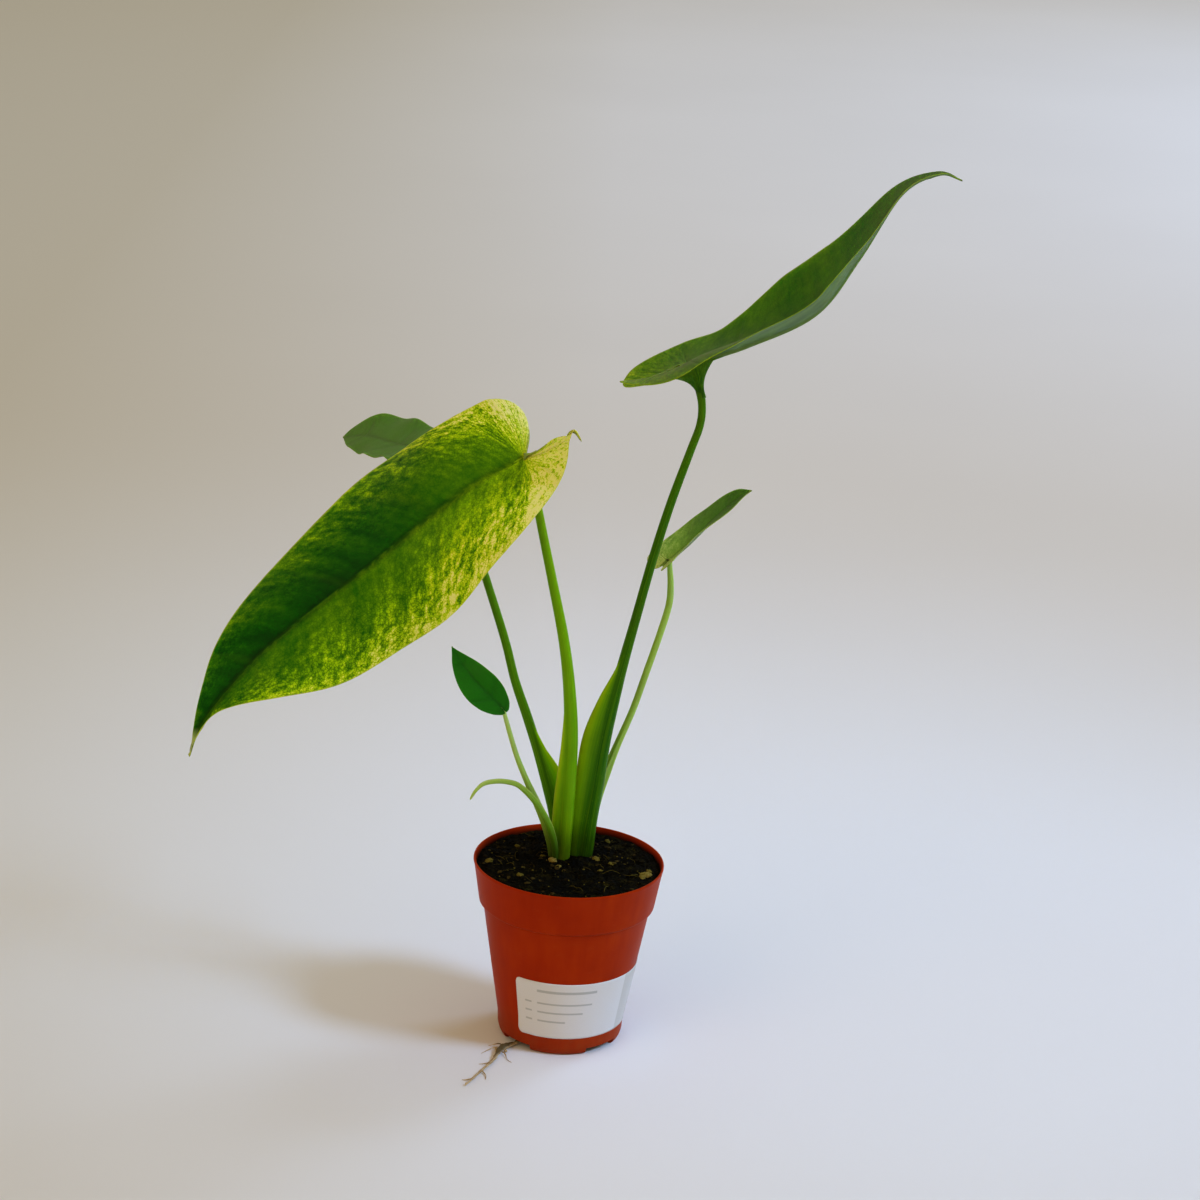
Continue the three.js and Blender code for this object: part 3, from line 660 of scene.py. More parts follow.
models = [bit_model(1, seed) for seed in range(4)]
smooth_models = [bit_model(2, seed) for seed in range(4, 6)]
bits = []
for kind in BIT_KINDS.values():
    for _ in range(kind["count"]):
        radius = BIT_REACH * math.sqrt(draw.random())
        turned = draw.uniform(0, 2 * math.pi)
        x, y = radius * math.cos(turned), radius * math.sin(turned)
        size = draw.uniform(*kind["size"]) * 0.5
        near_x = (x - CROWN_CENTRE[0]) / STEM_ROOM[0]
        near_y = (y - CROWN_CENTRE[1]) / STEM_ROOM[1]
        flat, tone = draw.uniform(*kind["flat"]), draw.uniform(*kind["tone"])
        if near_x * near_x + near_y * near_y > 0.7:
            drop = SOIL_EDGE_DROP * soft_step(39.5, 42, radius)
            spot = Vector((x, y, soil_height(x, y) + size * flat * 0.3 - drop))
            bits.append(place_bit(draw.choice(models), spot, size, flat, tone))
for x, y, size, tone in PALE_BITS:
    spot = Vector((x, y, soil_height(x, y) + size * 0.1))
    bits.append(place_bit(draw.choice(smooth_models), spot, size, PALE_FLAT, tone))
print("loose bits", len(bits))

# %% [markdown]
# Coir fibres are thin bent hairs that lie across the crumbs. Each is a short narrow cylinder
# whose rings are moved onto a small arc.

# %% Coir fibres
FIBRE_COUNT = 30
FIBRE_RINGS = 7
FIBRE_TONE = 0.62
FIBRE_REACH = 41.5
FIBRE_BEND = 0.9
FIBRE_LIFT = (0.3, 1.5)
FIBRE_LENGTH = (4, 11)
FIBRE_THICKNESS = (0.07, 0.16)
BITS_SMOOTH_UP_TO = math.radians(40)


def fibre(x, y, length, turned, thick):
    bend = draw.uniform(-FIBRE_BEND, FIBRE_BEND)
    lift = draw.uniform(*FIBRE_LIFT)

    def corner(across, along):
        arc = (along - 0.5) * bend
        px = x + math.cos(turned + arc) * (along - 0.5) * length
        py = y + math.sin(turned + arc) * (along - 0.5) * length
        radius = math.hypot(px, py)
        hold = min(1.0, FIBRE_REACH / radius)
        px, py = px * hold, py * hold
        around = 2 * math.pi * across
        height = soil_height(px, py) + thick + lift * math.sin(math.pi * along)
        wide = thick * (0.0 if along in (0.0, 1.0) else 1.0)
        side = Vector((-math.sin(turned + arc), math.cos(turned + arc), 0)) * math.cos(around) * wide
        return (Vector((px, py, height + math.sin(around) * wide)) + side) * MM

    piece = wrapped_grid("fibre", 4, FIBRE_RINGS, corner)
    note_values(piece, "tone", [FIBRE_TONE] * len(piece.data.vertices))
    return piece


for _ in range(FIBRE_COUNT):
    radius, turned = 40 * math.sqrt(draw.random()), draw.uniform(0, 2 * math.pi)
    x, y = radius * math.cos(turned), radius * math.sin(turned)
    length, heading = draw.uniform(*FIBRE_LENGTH), draw.uniform(0, 6.28)
    bits.append(fibre(x, y, length, heading, draw.uniform(*FIBRE_THICKNESS)))
for model in models + smooth_models:
    bpy.data.objects.remove(model)
soil_bits = named(joined(*bits), "soil_bits")
join_corners(soil_bits, distance=FINE_SEAM)
pick(soil_bits)
bpy.ops.object.shade_smooth_by_angle(angle=BITS_SMOOTH_UP_TO)
print("bits and fibres", len(soil_bits.data.polygons), "faces")

# %% [markdown]
# Wet peat is nearly black with warm brown where it has dried, and it glints a little. The
# loose bits share that finish but read their tone attribute through a ramp that runs from
# peat through bark and olive grit to pale tan.

# %% Soil finishes
def peat(name, toned):
    material, tree, shader = new_finish(name, 0.06)
    place = object_place(tree)
    patches = noise_value(place, 150, 4)
    grit = noise_value(place, 900, 5, 0.7)
    cells = add_node(tree, "TexVoronoi", {"Vector": place, "Scale": 700}).outputs["Distance"]
    if toned:
        tone = noted(tree, "tone")
        tone = plus(tone, spread(grit, 0.3, 0.7, -0.13, 0.13))
        color = ramp(tone, (0.0, (0.002, 0.0015, 0.0005)), (0.3, (0.012, 0.008, 0.002)),
                     (0.45, (0.050, 0.032, 0.008)), (0.62, (0.105, 0.085, 0.014)),
                     (0.8, (0.140, 0.108, 0.018)), (0.97, (0.27, 0.20, 0.050)))
    else:
        tone = plus(times(patches, 0.5), times(grit, 0.5))
        color = ramp(tone, (0.38, (0.0008, 0.0006, 0.0002)), (0.52, (0.004, 0.003, 0.0006)),
                     (0.62, (0.026, 0.020, 0.003)), (0.74, (0.095, 0.075, 0.012)))
    coloured(shader, color, spread(patches, 0.3, 0.7, 0.7, 0.95))
    height = plus(times(grit, 0.7), times(cells, 0.5))
    bumped(shader, height, 0.0006, 0.7)
    return material


soil.data.materials.append(peat("soil_peat", False))
hand_over(soil, "soil", "soil")
soil_bits.data.materials.append(peat("soil_bits_tones", True))
hand_over(soil_bits, "soil")

# %% [markdown]
# One root has found its way out through a front notch and trails over the ground. It is a
# grid rolled into a tube round a smooth path: corky, knotted where soil still clings to it,
# with a few hair roots. The crown and the roots inside the pot are buried, so their solids
# stay as they are and only get the same bark finish.

# %% Tubes along a path
def ring_axes(points, share, inner):
    along = along_direction(points, share)
    across = inner - along * inner.dot(along)
    across.normalize()
    return across, along.cross(across)


def round_tube(name, path, radii, sides, rings, knobs, grain):
    points = [Vector(point) for point in path]

    def corner(x, y):
        across, beside = ring_axes(points, y, Vector((0.6, 0.3, 1)))
        around = 2 * math.pi * x
        out = across * math.cos(around) + beside * math.sin(around)
        centre = smooth_value(points, y)
        closing = rounded_end(min(y, 1 - y), rings)
        rough = 1 + knobs * noise.fractal((centre + out * 1.5) / grain, 1.0, 2.0, 3)
        return (centre + out * smooth_value(radii, y) * rough * closing) * MM

    piece = wrapped_grid(name, sides, rings, corner)
    join_corners(piece)
    return piece


ROOT_PATH = [
    (-13, -13.5, 6.4), (-16.6, -17.2, 3.2), (-20.4, -21.2, 1.35), (-26.5, -28.5, 1.9),
    (-30, -40, 1.05), (-35.5, -53, 0.95), (-41.5, -67, 0.75),
]
ROOT_RADII = [1.0, 1.0, 0.9, 1.3, 0.65, 0.55, 0.3]
ROOT_SIDES = 20
ROOT_RINGS = 150
ROOTLET_RADII = [0.28, 0.22, 0.1]
ROOTLET_SIDES = 8
ROOTLET_RINGS = 26
ROOT_KNOBS = (0.35, 2.2)
ROOTLET_KNOBS = (0.3, 1.2)
ROOTLETS = [
    [(-26, -27, 1.6), (-30, -27.5, 1.5), (-33.5, -29.5, 0.5), (-36, -32.5, 0.3)],
    [(-27, -30, 1.4), (-24.5, -33, 1.0), (-23.5, -37, 0.4), (-21, -40, 0.3)],
    [(-30.2, -41, 0.9), (-33, -43, 0.7), (-36.5, -43.5, 0.3)],
    [(-34.5, -51, 0.8), (-32.5, -55, 0.5), (-32.5, -59, 0.3)],
    [(-38, -59, 0.8), (-41, -60.5, 0.5), (-43.5, -60.5, 0.3)],
    [(-25.5, -27.5, 2.6), (-28, -25, 2.4), (-31, -24, 1.0), (-33, -23.5, 0.3)],
]
root = round_tube("loose_root", ROOT_PATH, ROOT_RADII, ROOT_SIDES, ROOT_RINGS, *ROOT_KNOBS)
root_parts = [root]
for rootlet in ROOTLETS:
    size = (ROOTLET_RADII, ROOTLET_SIDES, ROOTLET_RINGS)
    root_parts.append(round_tube("rootlet", rootlet, *size, *ROOTLET_KNOBS))
CLOD_SPOTS = [(-26.5, -28.6, 1.7, 1.3), (-25.2, -26.9, 1.5, 1.1), (-28.3, -30.1, 1.2, 1.0),
              (-24.6, -29.3, 1.0, 0.8), (-28.9, -27.4, 1.0, 0.9), (-41, -65.5, 0.8, 0.7)]
for x, y, z, size in CLOD_SPOTS:
    clod = bit_model(2, x)
    clod.data.transform(Matrix.Translation(Vector((x, y, z)) * MM) @ Matrix.Scale(size * MM, 4))
    root_parts.append(clod)
joined(*root_parts)
bpy.ops.object.shade_smooth()
print("root parts", len(root_parts))


# %% Root bark
CLOD_HEIGHTS = (0.0015, 0.0023, 0.0, 0.85)


def root_bark():
    material, tree, shader = new_finish("root_bark", 0.2)
    place = object_place(tree)
    patches = noise_value(place, 240, 4)
    rings = noise_value(place, 1300, 4, 0.7)
    tone = plus(times(patches, 0.6), times(rings, 0.4))
    dry = ramp(tone, (0.3, (0.300, 0.205, 0.100)), (0.5, (0.500, 0.370, 0.205)),
               (0.72, (0.680, 0.540, 0.350)))
    high = axes_of(place)["Z"]
    clod = spread(high, *CLOD_HEIGHTS)
    color = mixed(clod, dry, (0.065, 0.044, 0.009))
    coloured(shader, color, spread(rings, 0.3, 0.7, 0.75, 0.95))
    bumped(shader, rings, 0.0005, 0.8)
    return material


bark = root_bark()
root.data.materials.append(bark)
hand_over(root, "root_bark", "root_tail")
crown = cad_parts["crown"]
crown.data.materials.clear()
crown.data.materials.append(bark)

# %% [markdown]
# Each leaf stands on its own stalk. Low down, an aroid's stalk opens into a sheath: two thin
# wings that once wrapped the next leaf. The stalk is a tube whose ring of corners is pushed
# out at two places to make the wings, so stalk and sheath are one skin as they grew. The
# wings lean outwards where they start and curl in again towards their rims.

# %% Stalk section
WING_AT = 59
WING_HALF = 13
WING_LEAN = 42
WING_CURL = 34
STALK_RINGS = 150
ROUND_ANGLES = [0, 11, 22, 33, 43]
WING_ANGLES = [WING_AT + step * 2 for step in range(-6, 7)]
BACK_ANGLES = [75 + step * 12 for step in range(9)]
HALF_RING = ROUND_ANGLES + WING_ANGLES + BACK_ANGLES
SECTION = HALF_RING + [180] + [360 - angle for angle in reversed(HALF_RING[1:])]


def wing_part(angle):
    away = abs(min(angle, 360 - angle) - WING_AT)
    return max(0.0, 1 - away / WING_HALF) ** 0.6


def stalk(name, path, radii, wings, inner):
    points = [Vector(point) for point in path]
    edges = []

    def corner(x, y):
        angle = SECTION[round(x * len(SECTION)) % len(SECTION)]
        part = wing_part(angle)
        across, beside = ring_axes(points, y, Vector(inner))
        reach = max(0.0, smooth_value(wings, y))
        lean = math.radians(WING_LEAN - WING_CURL * part) * (1 if angle < 180 else -1)
        radius = smooth_value(radii, y) * rounded_end(1 - y, STALK_RINGS)
        turned = math.radians(angle)
        wave = 1 + 0.1 * noise.noise(Vector((y * 14, lean, 3)))
        out = radius * math.cos(turned) + part * reach * wave * math.cos(lean)
        aside = radius * math.sin(turned) + part * reach * wave * math.sin(lean)
        # The rim attribute covers each wing out to its rim: a real pale rim and painted light through
        # the wing.
        edges.append(soft_step(0.1, 0.9, part) * soft_step(0.3, 1.2, reach))
        return (smooth_value(points, y) + across * out + beside * aside) * MM

    piece = wrapped_grid(name, len(SECTION), STALK_RINGS, corner)
    note_values(piece, "rim", edges)
    with edit_mode():
        bpy.ops.mesh.remove_doubles(threshold=SEAM)
        bpy.ops.mesh.select_all(action="DESELECT")
        bpy.ops.mesh.select_non_manifold()
        bpy.ops.mesh.edge_face_add()
        bpy.ops.mesh.select_all(action="SELECT")
        face_outwards()
    return piece


print("corners round a stalk", len(SECTION))

# %% [markdown]
# A leaf is described the way it grew. Its spine is the midrib, from behind the stalk's end to
# the tip; the outline gives half of the margin as shares of length and half width, with other
# widths for the left half where it grew differently; side veins leave the midrib at an angle
# and bow towards the tip. Fold lifts each half from the midrib, curl bends it on up to the
# margin, first on the right of the midrib as seen from the stalk, then on the left. These
# shapes were fitted by least squares to points picked on the photograph's leaf
# edges, then rounded and in part changed. One photograph doesn't show depth.

# %% Leaf shapes
LEAVES = {
    "large": {
        "spine": [
            (-17, -4.5, 297.5), (-31, -11.5, 286.5), (-56, -19.5, 272), (-101, -28.5, 233.5),
            (-139.5, -37, 199.5), (-160.5, -44, 175.5), (-170.5, -45.5, 159.5), (-174.3, -46, 147),
        ],
        "face": (-0.48, -0.51, 0.71), "twist": -24, "half_width": 44,
        "outline": [
            (-0.01, 0.01), (-0.055, 0.22), (-0.075, 0.43), (-0.065, 0.63), (-0.02, 0.74),
            (0.1, 0.87), (0.26, 1.2), (0.44, 1.05), (0.605, 0.86), (0.755, 0.485), (0.87, 0.19),
            (0.95, 0.03), (1, 0),
        ],
        "left": [0.03, 0.21, 0.51, 0.51, 0.64, 0.905, 0.925, 0.925, 0.82, 0.47, 0.105, 0.03, 0],
        "fold": [[17, -3, -26, 2, 31], [32, 10, -22, -2, 47]],
        "curl": [[-3, -36, 5, -40, -5], [-6, 2, -29, -37, 0]],
        "drop": [0.45, -1.5],
        "wave": (0, 3, 0), "rib": 1.6, "veins": 9, "quilt": 0.4,
        "pale": [[(0.82, 0.78, 0.68, 0.38, 0.06, 0.03, 0.1),
                  (0.98, 1.05, 1.0, 0.66, 0.4, 0.33, 0.27)],
                 [(0.98, 0.92, 0.54, 0.34, 0.26), (1.04, 1.06, 0.94, 0.58, 0.3)]],
        "hook": (0.188, (0.8, -1, 7.4), (4.6, -2, -1.6)),
        "stations": 216, "rows": 46,
    },
    "tall": {
        "spine": [
            (20, 3, 316), (41.5, 6, 330), (67, 10.5, 339.5), (97, 21, 353.5), (115, 29.5, 378),
            (133, 42.5, 406), (150, 50, 414.5), (161, 53, 412),
        ],
        "face": (-0.6, -0.15, 0.78), "twist": -25, "half_width": 30.5,
        "outline": [
            (-0.04, 0.03), (-0.115, 0.11), (-0.19, 0.36), (-0.15, 0.56), (-0.04, 0.91),
            (0.075, 0.94), (0.24, 0.86), (0.43, 1.06), (0.6, 0.62), (0.76, 0.34), (0.875, 0.18),
            (0.95, 0.08), (1, 0),
        ],
        "left": [0.02, 0.1, 0.37, 0.62, 0.82, 1.02, 1.02, 1.16, 0.82, 0.48, 0.24, 0.1, 0],
        "fold": [[-3, 13, 3, 4, -3, -16], [21, 7, 21, 26, 22, 39]],
        "curl": [[-43, -36, 0, 3, 2, -12], [58, 33, 39, 23, 21, 14]],
        "drop": [-0.28, -0.03],
        "wave": (0, 3, 0), "rib": 1.3, "veins": 8, "quilt": 0.25,
        "pale": [[(0.55, 0.35, 0.15, 0.15, 0.2), (0.8, 0.5, 0.15, 0.1, 0.2)],
                 [(0.55, 0.35, 0.15, 0.15, 0.2), (0.8, 0.5, 0.2, 0.15, 0.2)]],
        "stations": 192, "rows": 36,
    },
    "back": {
        "spine": [
            (-55.5, 17, 264), (-67.7, 36, 266.6), (-80.7, 58, 267.6), (-95.3, 80, 264.4),
            (-109.8, 102, 261.1), (-123.5, 120, 254.6),
        ],
        "face": (-0.35, -0.3, 0.88), "twist": 0, "half_width": 21.5,
        "outline": [
            (-0.01, 0.03), (-0.085, 0.1), (-0.135, 0.27), (-0.125, 0.52), (-0.05, 0.79),
            (0.08, 0.93), (0.235, 0.96), (0.43, 0.92), (0.575, 0.91), (0.775, 0.82),
            (0.865, 0.61), (0.965, 0.255), (1, 0),
        ],
        "left": [0.03, 0.1, 0.27, 0.52, 0.78, 0.9, 0.9, 0.845, 0.705, 0.525, 0.385, 0.1, 0],
        "fold": [[6, 3.5, 0, 0.5, 16.5], [8.5, 14, 14.5, 4, -0.5]],
        "curl": [[0, 0, -12.5, -6.5, 0.5], [-7.5, 1.5, 12.5, -12.5, -10]],
        "drop": [0, 0],
        "wave": (1.95, 4.37, 2.14), "rib": 1.1, "veins": 6, "quilt": 0.2,
        "pale": [[(0.3, 0.3, 0.3), (0.35, 0.3, 0.3)], [(0.3, 0.3, 0.3), (0.35, 0.35, 0.35)]],
        "stations": 144, "rows": 30,
    },
    "right": {
        "spine": [
            (30, 18, 222.5), (38, 23.5, 231), (48, 29.5, 239.5), (57.5, 33, 249.5),
            (67.5, 35.5, 259), (74.5, 34.5, 264.5),
        ],
        "face": (-0.55, -0.45, 0.7), "twist": -17, "half_width": 16.5,
        "outline": [
            (0, 0.03), (-0.09, 0.1), (-0.13, 0.27), (-0.11, 0.53), (-0.06, 0.81), (0.09, 0.94),
            (0.24, 1), (0.42, 0.92), (0.59, 0.7), (0.75, 0.54), (0.87, 0.34), (0.95, 0.13),
            (1, 0),
        ],
        "fold": [[14, 18, 20, 10, 6], [16, 13, 8, 11, 20]],
        "curl": [[0, 6, 8, 2, -5], [2, -3, -7, -7, 3]],
        "drop": [0, 0],
        "wave": (0, 3, 0), "rib": 0.8, "veins": 5, "quilt": 0.18,
        "pale": [[(1.1, 1.0, 0.62, 0.1, 0.15), (1.1, 1.05, 0.5, 0.12, 0.15)],
                 [(1.1, 1.0, 0.66, 0.15, 0.15), (1.1, 1.05, 0.6, 0.15, 0.15)]],
        "stations": 120, "rows": 26,
    },
    "left": {
        "spine": [
            (-28.8, -24.2, 164), (-34, -22.8, 170), (-40.4, -21.9, 176), (-47, -20, 181.5),
            (-53.8, -16.5, 188.5), (-59, -14, 195.5),
        ],
        "face": (-0.25, -0.87, 0.42), "twist": 0, "half_width": 8.2,
        "outline": [
            (-0.06, 0.05), (-0.05, 0.25), (-0.01, 0.46), (0.03, 0.61), (0.11, 0.8), (0.21, 0.97),
            (0.36, 1.05), (0.52, 0.96), (0.68, 0.75), (0.82, 0.47), (0.92, 0.21), (0.97, 0.09),
            (1, 0),
        ],
        "fold": [[12, 14, 12, 8, 12], [12, 12, 13, 13, 12]],
        "curl": [[0, 3, 1, -5, 0], [0, 0, 2, 1, 0]],
        "drop": [0, 0],
        "wave": (0, 3, 0), "rib": 0.6, "veins": 4, "quilt": 0.1,
        "pale": [[(0.1, 0.1, 0.1), (0.15, 0.1, 0.1)], [(0.1, 0.1, 0.1), (0.15, 0.1, 0.1)]],
        "stations": 96, "rows": 20,
    },
}
VEIN_ANGLE = math.radians(55)
VEIN_BOW = 0.1
CURVE_STEPS = 60
print("leaves", list(LEAVES))

# %% [markdown]
# A place on the flat leaf, so far along the midrib and so far beside it, is found on the bent
# leaf in two steps: walk along the spine, then out over the folded and curled half.

# %% From the flat leaf to the bent one
def spine_line(leaf):
    points = [Vector(point) for point in leaf["spine"]]
    count = (len(points) - 1) * CURVE_STEPS
    samples = [smooth_value(points, i / count) for i in range(count + 1)]
    lengths = [0.0]
    for first, second in zip(samples, samples[1:]):
        lengths.append(lengths[-1] + (second - first).length)
    return samples, lengths


def spine_point(line, length):
    samples, lengths = line
    i = min(max(bisect_right(lengths, length) - 1, 0), len(lengths) - 2)
    share = (length - lengths[i]) / (lengths[i + 1] - lengths[i])
    return samples[i] + (samples[i + 1] - samples[i]) * share


def leaf_axes(leaf, line, at):
    total = line[1][-1]
    tail = spine_point(line, max(0.0, at - 0.5))
    along = (spine_point(line, min(total, at + 0.5)) - tail).normalized()
    up = Vector(leaf["face"])
    up = (up - along * up.dot(along)).normalized()
    up.rotate(Quaternion(along, math.radians(leaf["twist"])))
    return along, up, along.cross(up)


def bent_place(leaf, line, ahead_by, beside_by, side, extra=0.0):
    behind, total = line[1][CURVE_STEPS], line[1][-1]
    at = min(total, max(0.0, ahead_by + behind))
    share = at / total
    along, up, beside = leaf_axes(leaf, line, at)
    half = 0 if side > 0 else 1
    width = leaf["half_width"]
    fold = math.radians(smooth_value(leaf["fold"][half], share))
    curl = math.radians(smooth_value(leaf["curl"][half], share)) / width
    if abs(curl) < 1e-6:
        curl = 1e-6
    out = (math.sin(fold + curl * beside_by) - math.sin(fold)) / curl
    lift = (math.cos(fold) - math.cos(fold + curl * beside_by)) / curl
    height, count, phase = leaf["wave"]
    ripple = math.sin(2 * math.pi * count * share + phase + (0 if side > 0 else 1.3))
    lift += height * ripple * (beside_by / width) ** 2 + extra
    lift -= leaf["drop"][half] * max(0.0, -ahead_by) ** 2 / max(behind, 1)
    centre = spine_point(line, at) + along * (ahead_by + behind - at)
    return centre + beside * side * out + up * lift


# %% [markdown]
# Each half of a leaf is a grid whose columns follow the side veins from the midrib to the
# margin, so that relief and markings can follow the veins too. While a corner is placed, its
# flat place, its paleness and the leaf's thickness there are noted. The halves are joined at
# the midrib, and Solidify gives the sheet its underside: thick under the midrib, thin at the
# margin, with the underside and the margin as finishes of their own. The large leaf's front
# lobe ends in a small hook, which is a pull on the few corners at its tip.

# %% Blades
BLADE_THICKNESS = 0.5
MARGIN_THICKNESS = 0.28
VEIN_THICKNESS = 0.22
GROOVE = 0.1
GROOVE_WIDTH = 0.8
VEIN_WIDTH = 0.08
PALE_POWER = 1.3
LOWER_SHIFT = 2.0
CENTIMETRES = 0.1
HOOK_REACH = 0.019


def vein_place(leaf, length, side, x, y):
    right_widths = [v for _, v in leaf["outline"]]
    left_widths = leaf.get("left", right_widths)
    end_ahead = smooth_value([u for u, _ in leaf["outline"]], x) * length
    widths = [max(0.0, smooth_value(half, x)) * leaf["half_width"]
              for half in (right_widths, left_widths)]
    end_beside = widths[0 if side > 0 else 1]
    start = max(0.0, end_ahead - sum(widths) / 2 / math.tan(VEIN_ANGLE))
    bow = VEIN_BOW * 2 * y * (1 - y)
    ahead_by = start + y * (end_ahead - start) - bow * end_beside
    beside_by = y * end_beside + bow * (end_ahead - start)
    return ahead_by, beside_by


def hook_pull(leaf, side, x, y):
    if side > 0 or "hook" not in leaf:
        return Vector()
    share, first, last = leaf["hook"]
    strength = soft_step(0.86, 1, y) * math.exp(-(((x - share) / HOOK_REACH) ** 2))
    return Vector(first) * 2 * strength * (1 - strength) + Vector(last) * strength ** 2


def half_blade(leaf, line, side, length):
    notes = {"flat": [], "pale": [], "thickness": []}
    half = 0 if side > 0 else 1
    middle_pale, edge_pale = leaf["pale"][half]

    def corner(x, y):
        ahead_by, beside_by = vein_place(leaf, length, side, x, y)
        phase = x * leaf["veins"]
        to_vein = abs(phase - round(phase))
        puff = math.sqrt(abs(math.sin(math.pi * phase))) - 0.6
        quilted = leaf["quilt"] * puff * 4 * y * (1 - y)
        taper = math.sqrt(max(0.0, 1 - max(0.0, ahead_by) / length))
        groove = GROOVE * taper * math.exp(-((beside_by / GROOVE_WIDTH) ** 2))
        thin = BLADE_THICKNESS + (MARGIN_THICKNESS - BLADE_THICKNESS) * soft_step(0.85, 1, y)
        rib = leaf["rib"] * taper * math.exp(-((beside_by / (0.9 * leaf["rib"])) ** 2))
        vein = VEIN_THICKNESS * (1 - y) * math.exp(-((to_vein / VEIN_WIDTH) ** 2))
        notes["flat"].append((ahead_by * CENTIMETRES, side * beside_by * CENTIMETRES))
        edge = smooth_value(edge_pale, x) - smooth_value(middle_pale, x)
        notes["pale"].append(smooth_value(middle_pale, x) + edge * y ** PALE_POWER)
        notes["thickness"].append(thin + rib + vein * soft_step(0, 0.1, y))
        bent = bent_place(leaf, line, ahead_by, beside_by, side, quilted - groove)
        return (bent + hook_pull(leaf, side, x, y)) * MM

    piece = wrapped_grid("half", leaf["stations"], leaf["rows"], corner)
    flat_map = piece.data.uv_layers.new(name="flat")
    growth_map = piece.data.uv_layers[0]
    for loop in piece.data.loops:
        flat_map.data[loop.index].uv = notes["flat"][loop.vertex_index]
        if side < 0:
            growth_map.data[loop.index].uv[0] += LOWER_SHIFT
    note_values(piece, "pale", notes["pale"])
    group = piece.vertex_groups.new(name="thickness")
    most = BLADE_THICKNESS + leaf["rib"] + VEIN_THICKNESS
    for index, value in enumerate(notes["thickness"]):
        group.add([index], value / most, "REPLACE")
    face_way = Vector(leaf["face"])
    towards_face = sum(face.normal.dot(face_way) * face.area for face in piece.data.polygons)
    if towards_face < 0:
        with edit_mode():
            bpy.ops.mesh.flip_normals()
    return piece


def blade(name, leaf):
    line = spine_line(leaf)
    length = line[1][-1] - line[1][CURVE_STEPS]
    halves = [half_blade(leaf, line, side, length) for side in (1, -1)]
    piece = named(joined(*halves), "leaf_" + name)
    join_corners(piece, outwards=False)
    body = piece.modifiers.new("underside", "SOLIDIFY")
    body.thickness = (BLADE_THICKNESS + leaf["rib"] + VEIN_THICKNESS) * MM
    body.offset = -1
    body.vertex_group = "thickness"
    body.material_offset = 1
    body.material_offset_rim = 2
    for _ in range(3):
        piece.data.materials.append(None)
    apply_modifiers(piece)
    print("blade", name, "length", round(length), "mm")
    return piece


blades = {name: blade(name, leaf) for name, leaf in LEAVES.items()}

# %% [markdown]
# The upper face of the leaf carries the look of this plant. A real blade of this kind is a
# deep satin green that is broken up by yellow to cream mottling, drawn out along the side
# veins. Three noises in the vein's own coordinates make it: broad bands, long streaks and
# fine flecks. They push the paleness noted on the mesh through a ramp of greens, less so by
# the midrib. A net of tiny veins tints the pale parts and is pressed in by the bump, as the
# side veins are, and the very point of the leaf has dried to a pale tan.

# %% Upper face of a leaf
BY_THE_MIDRIB = 0.45
NET_TINT = 0.3


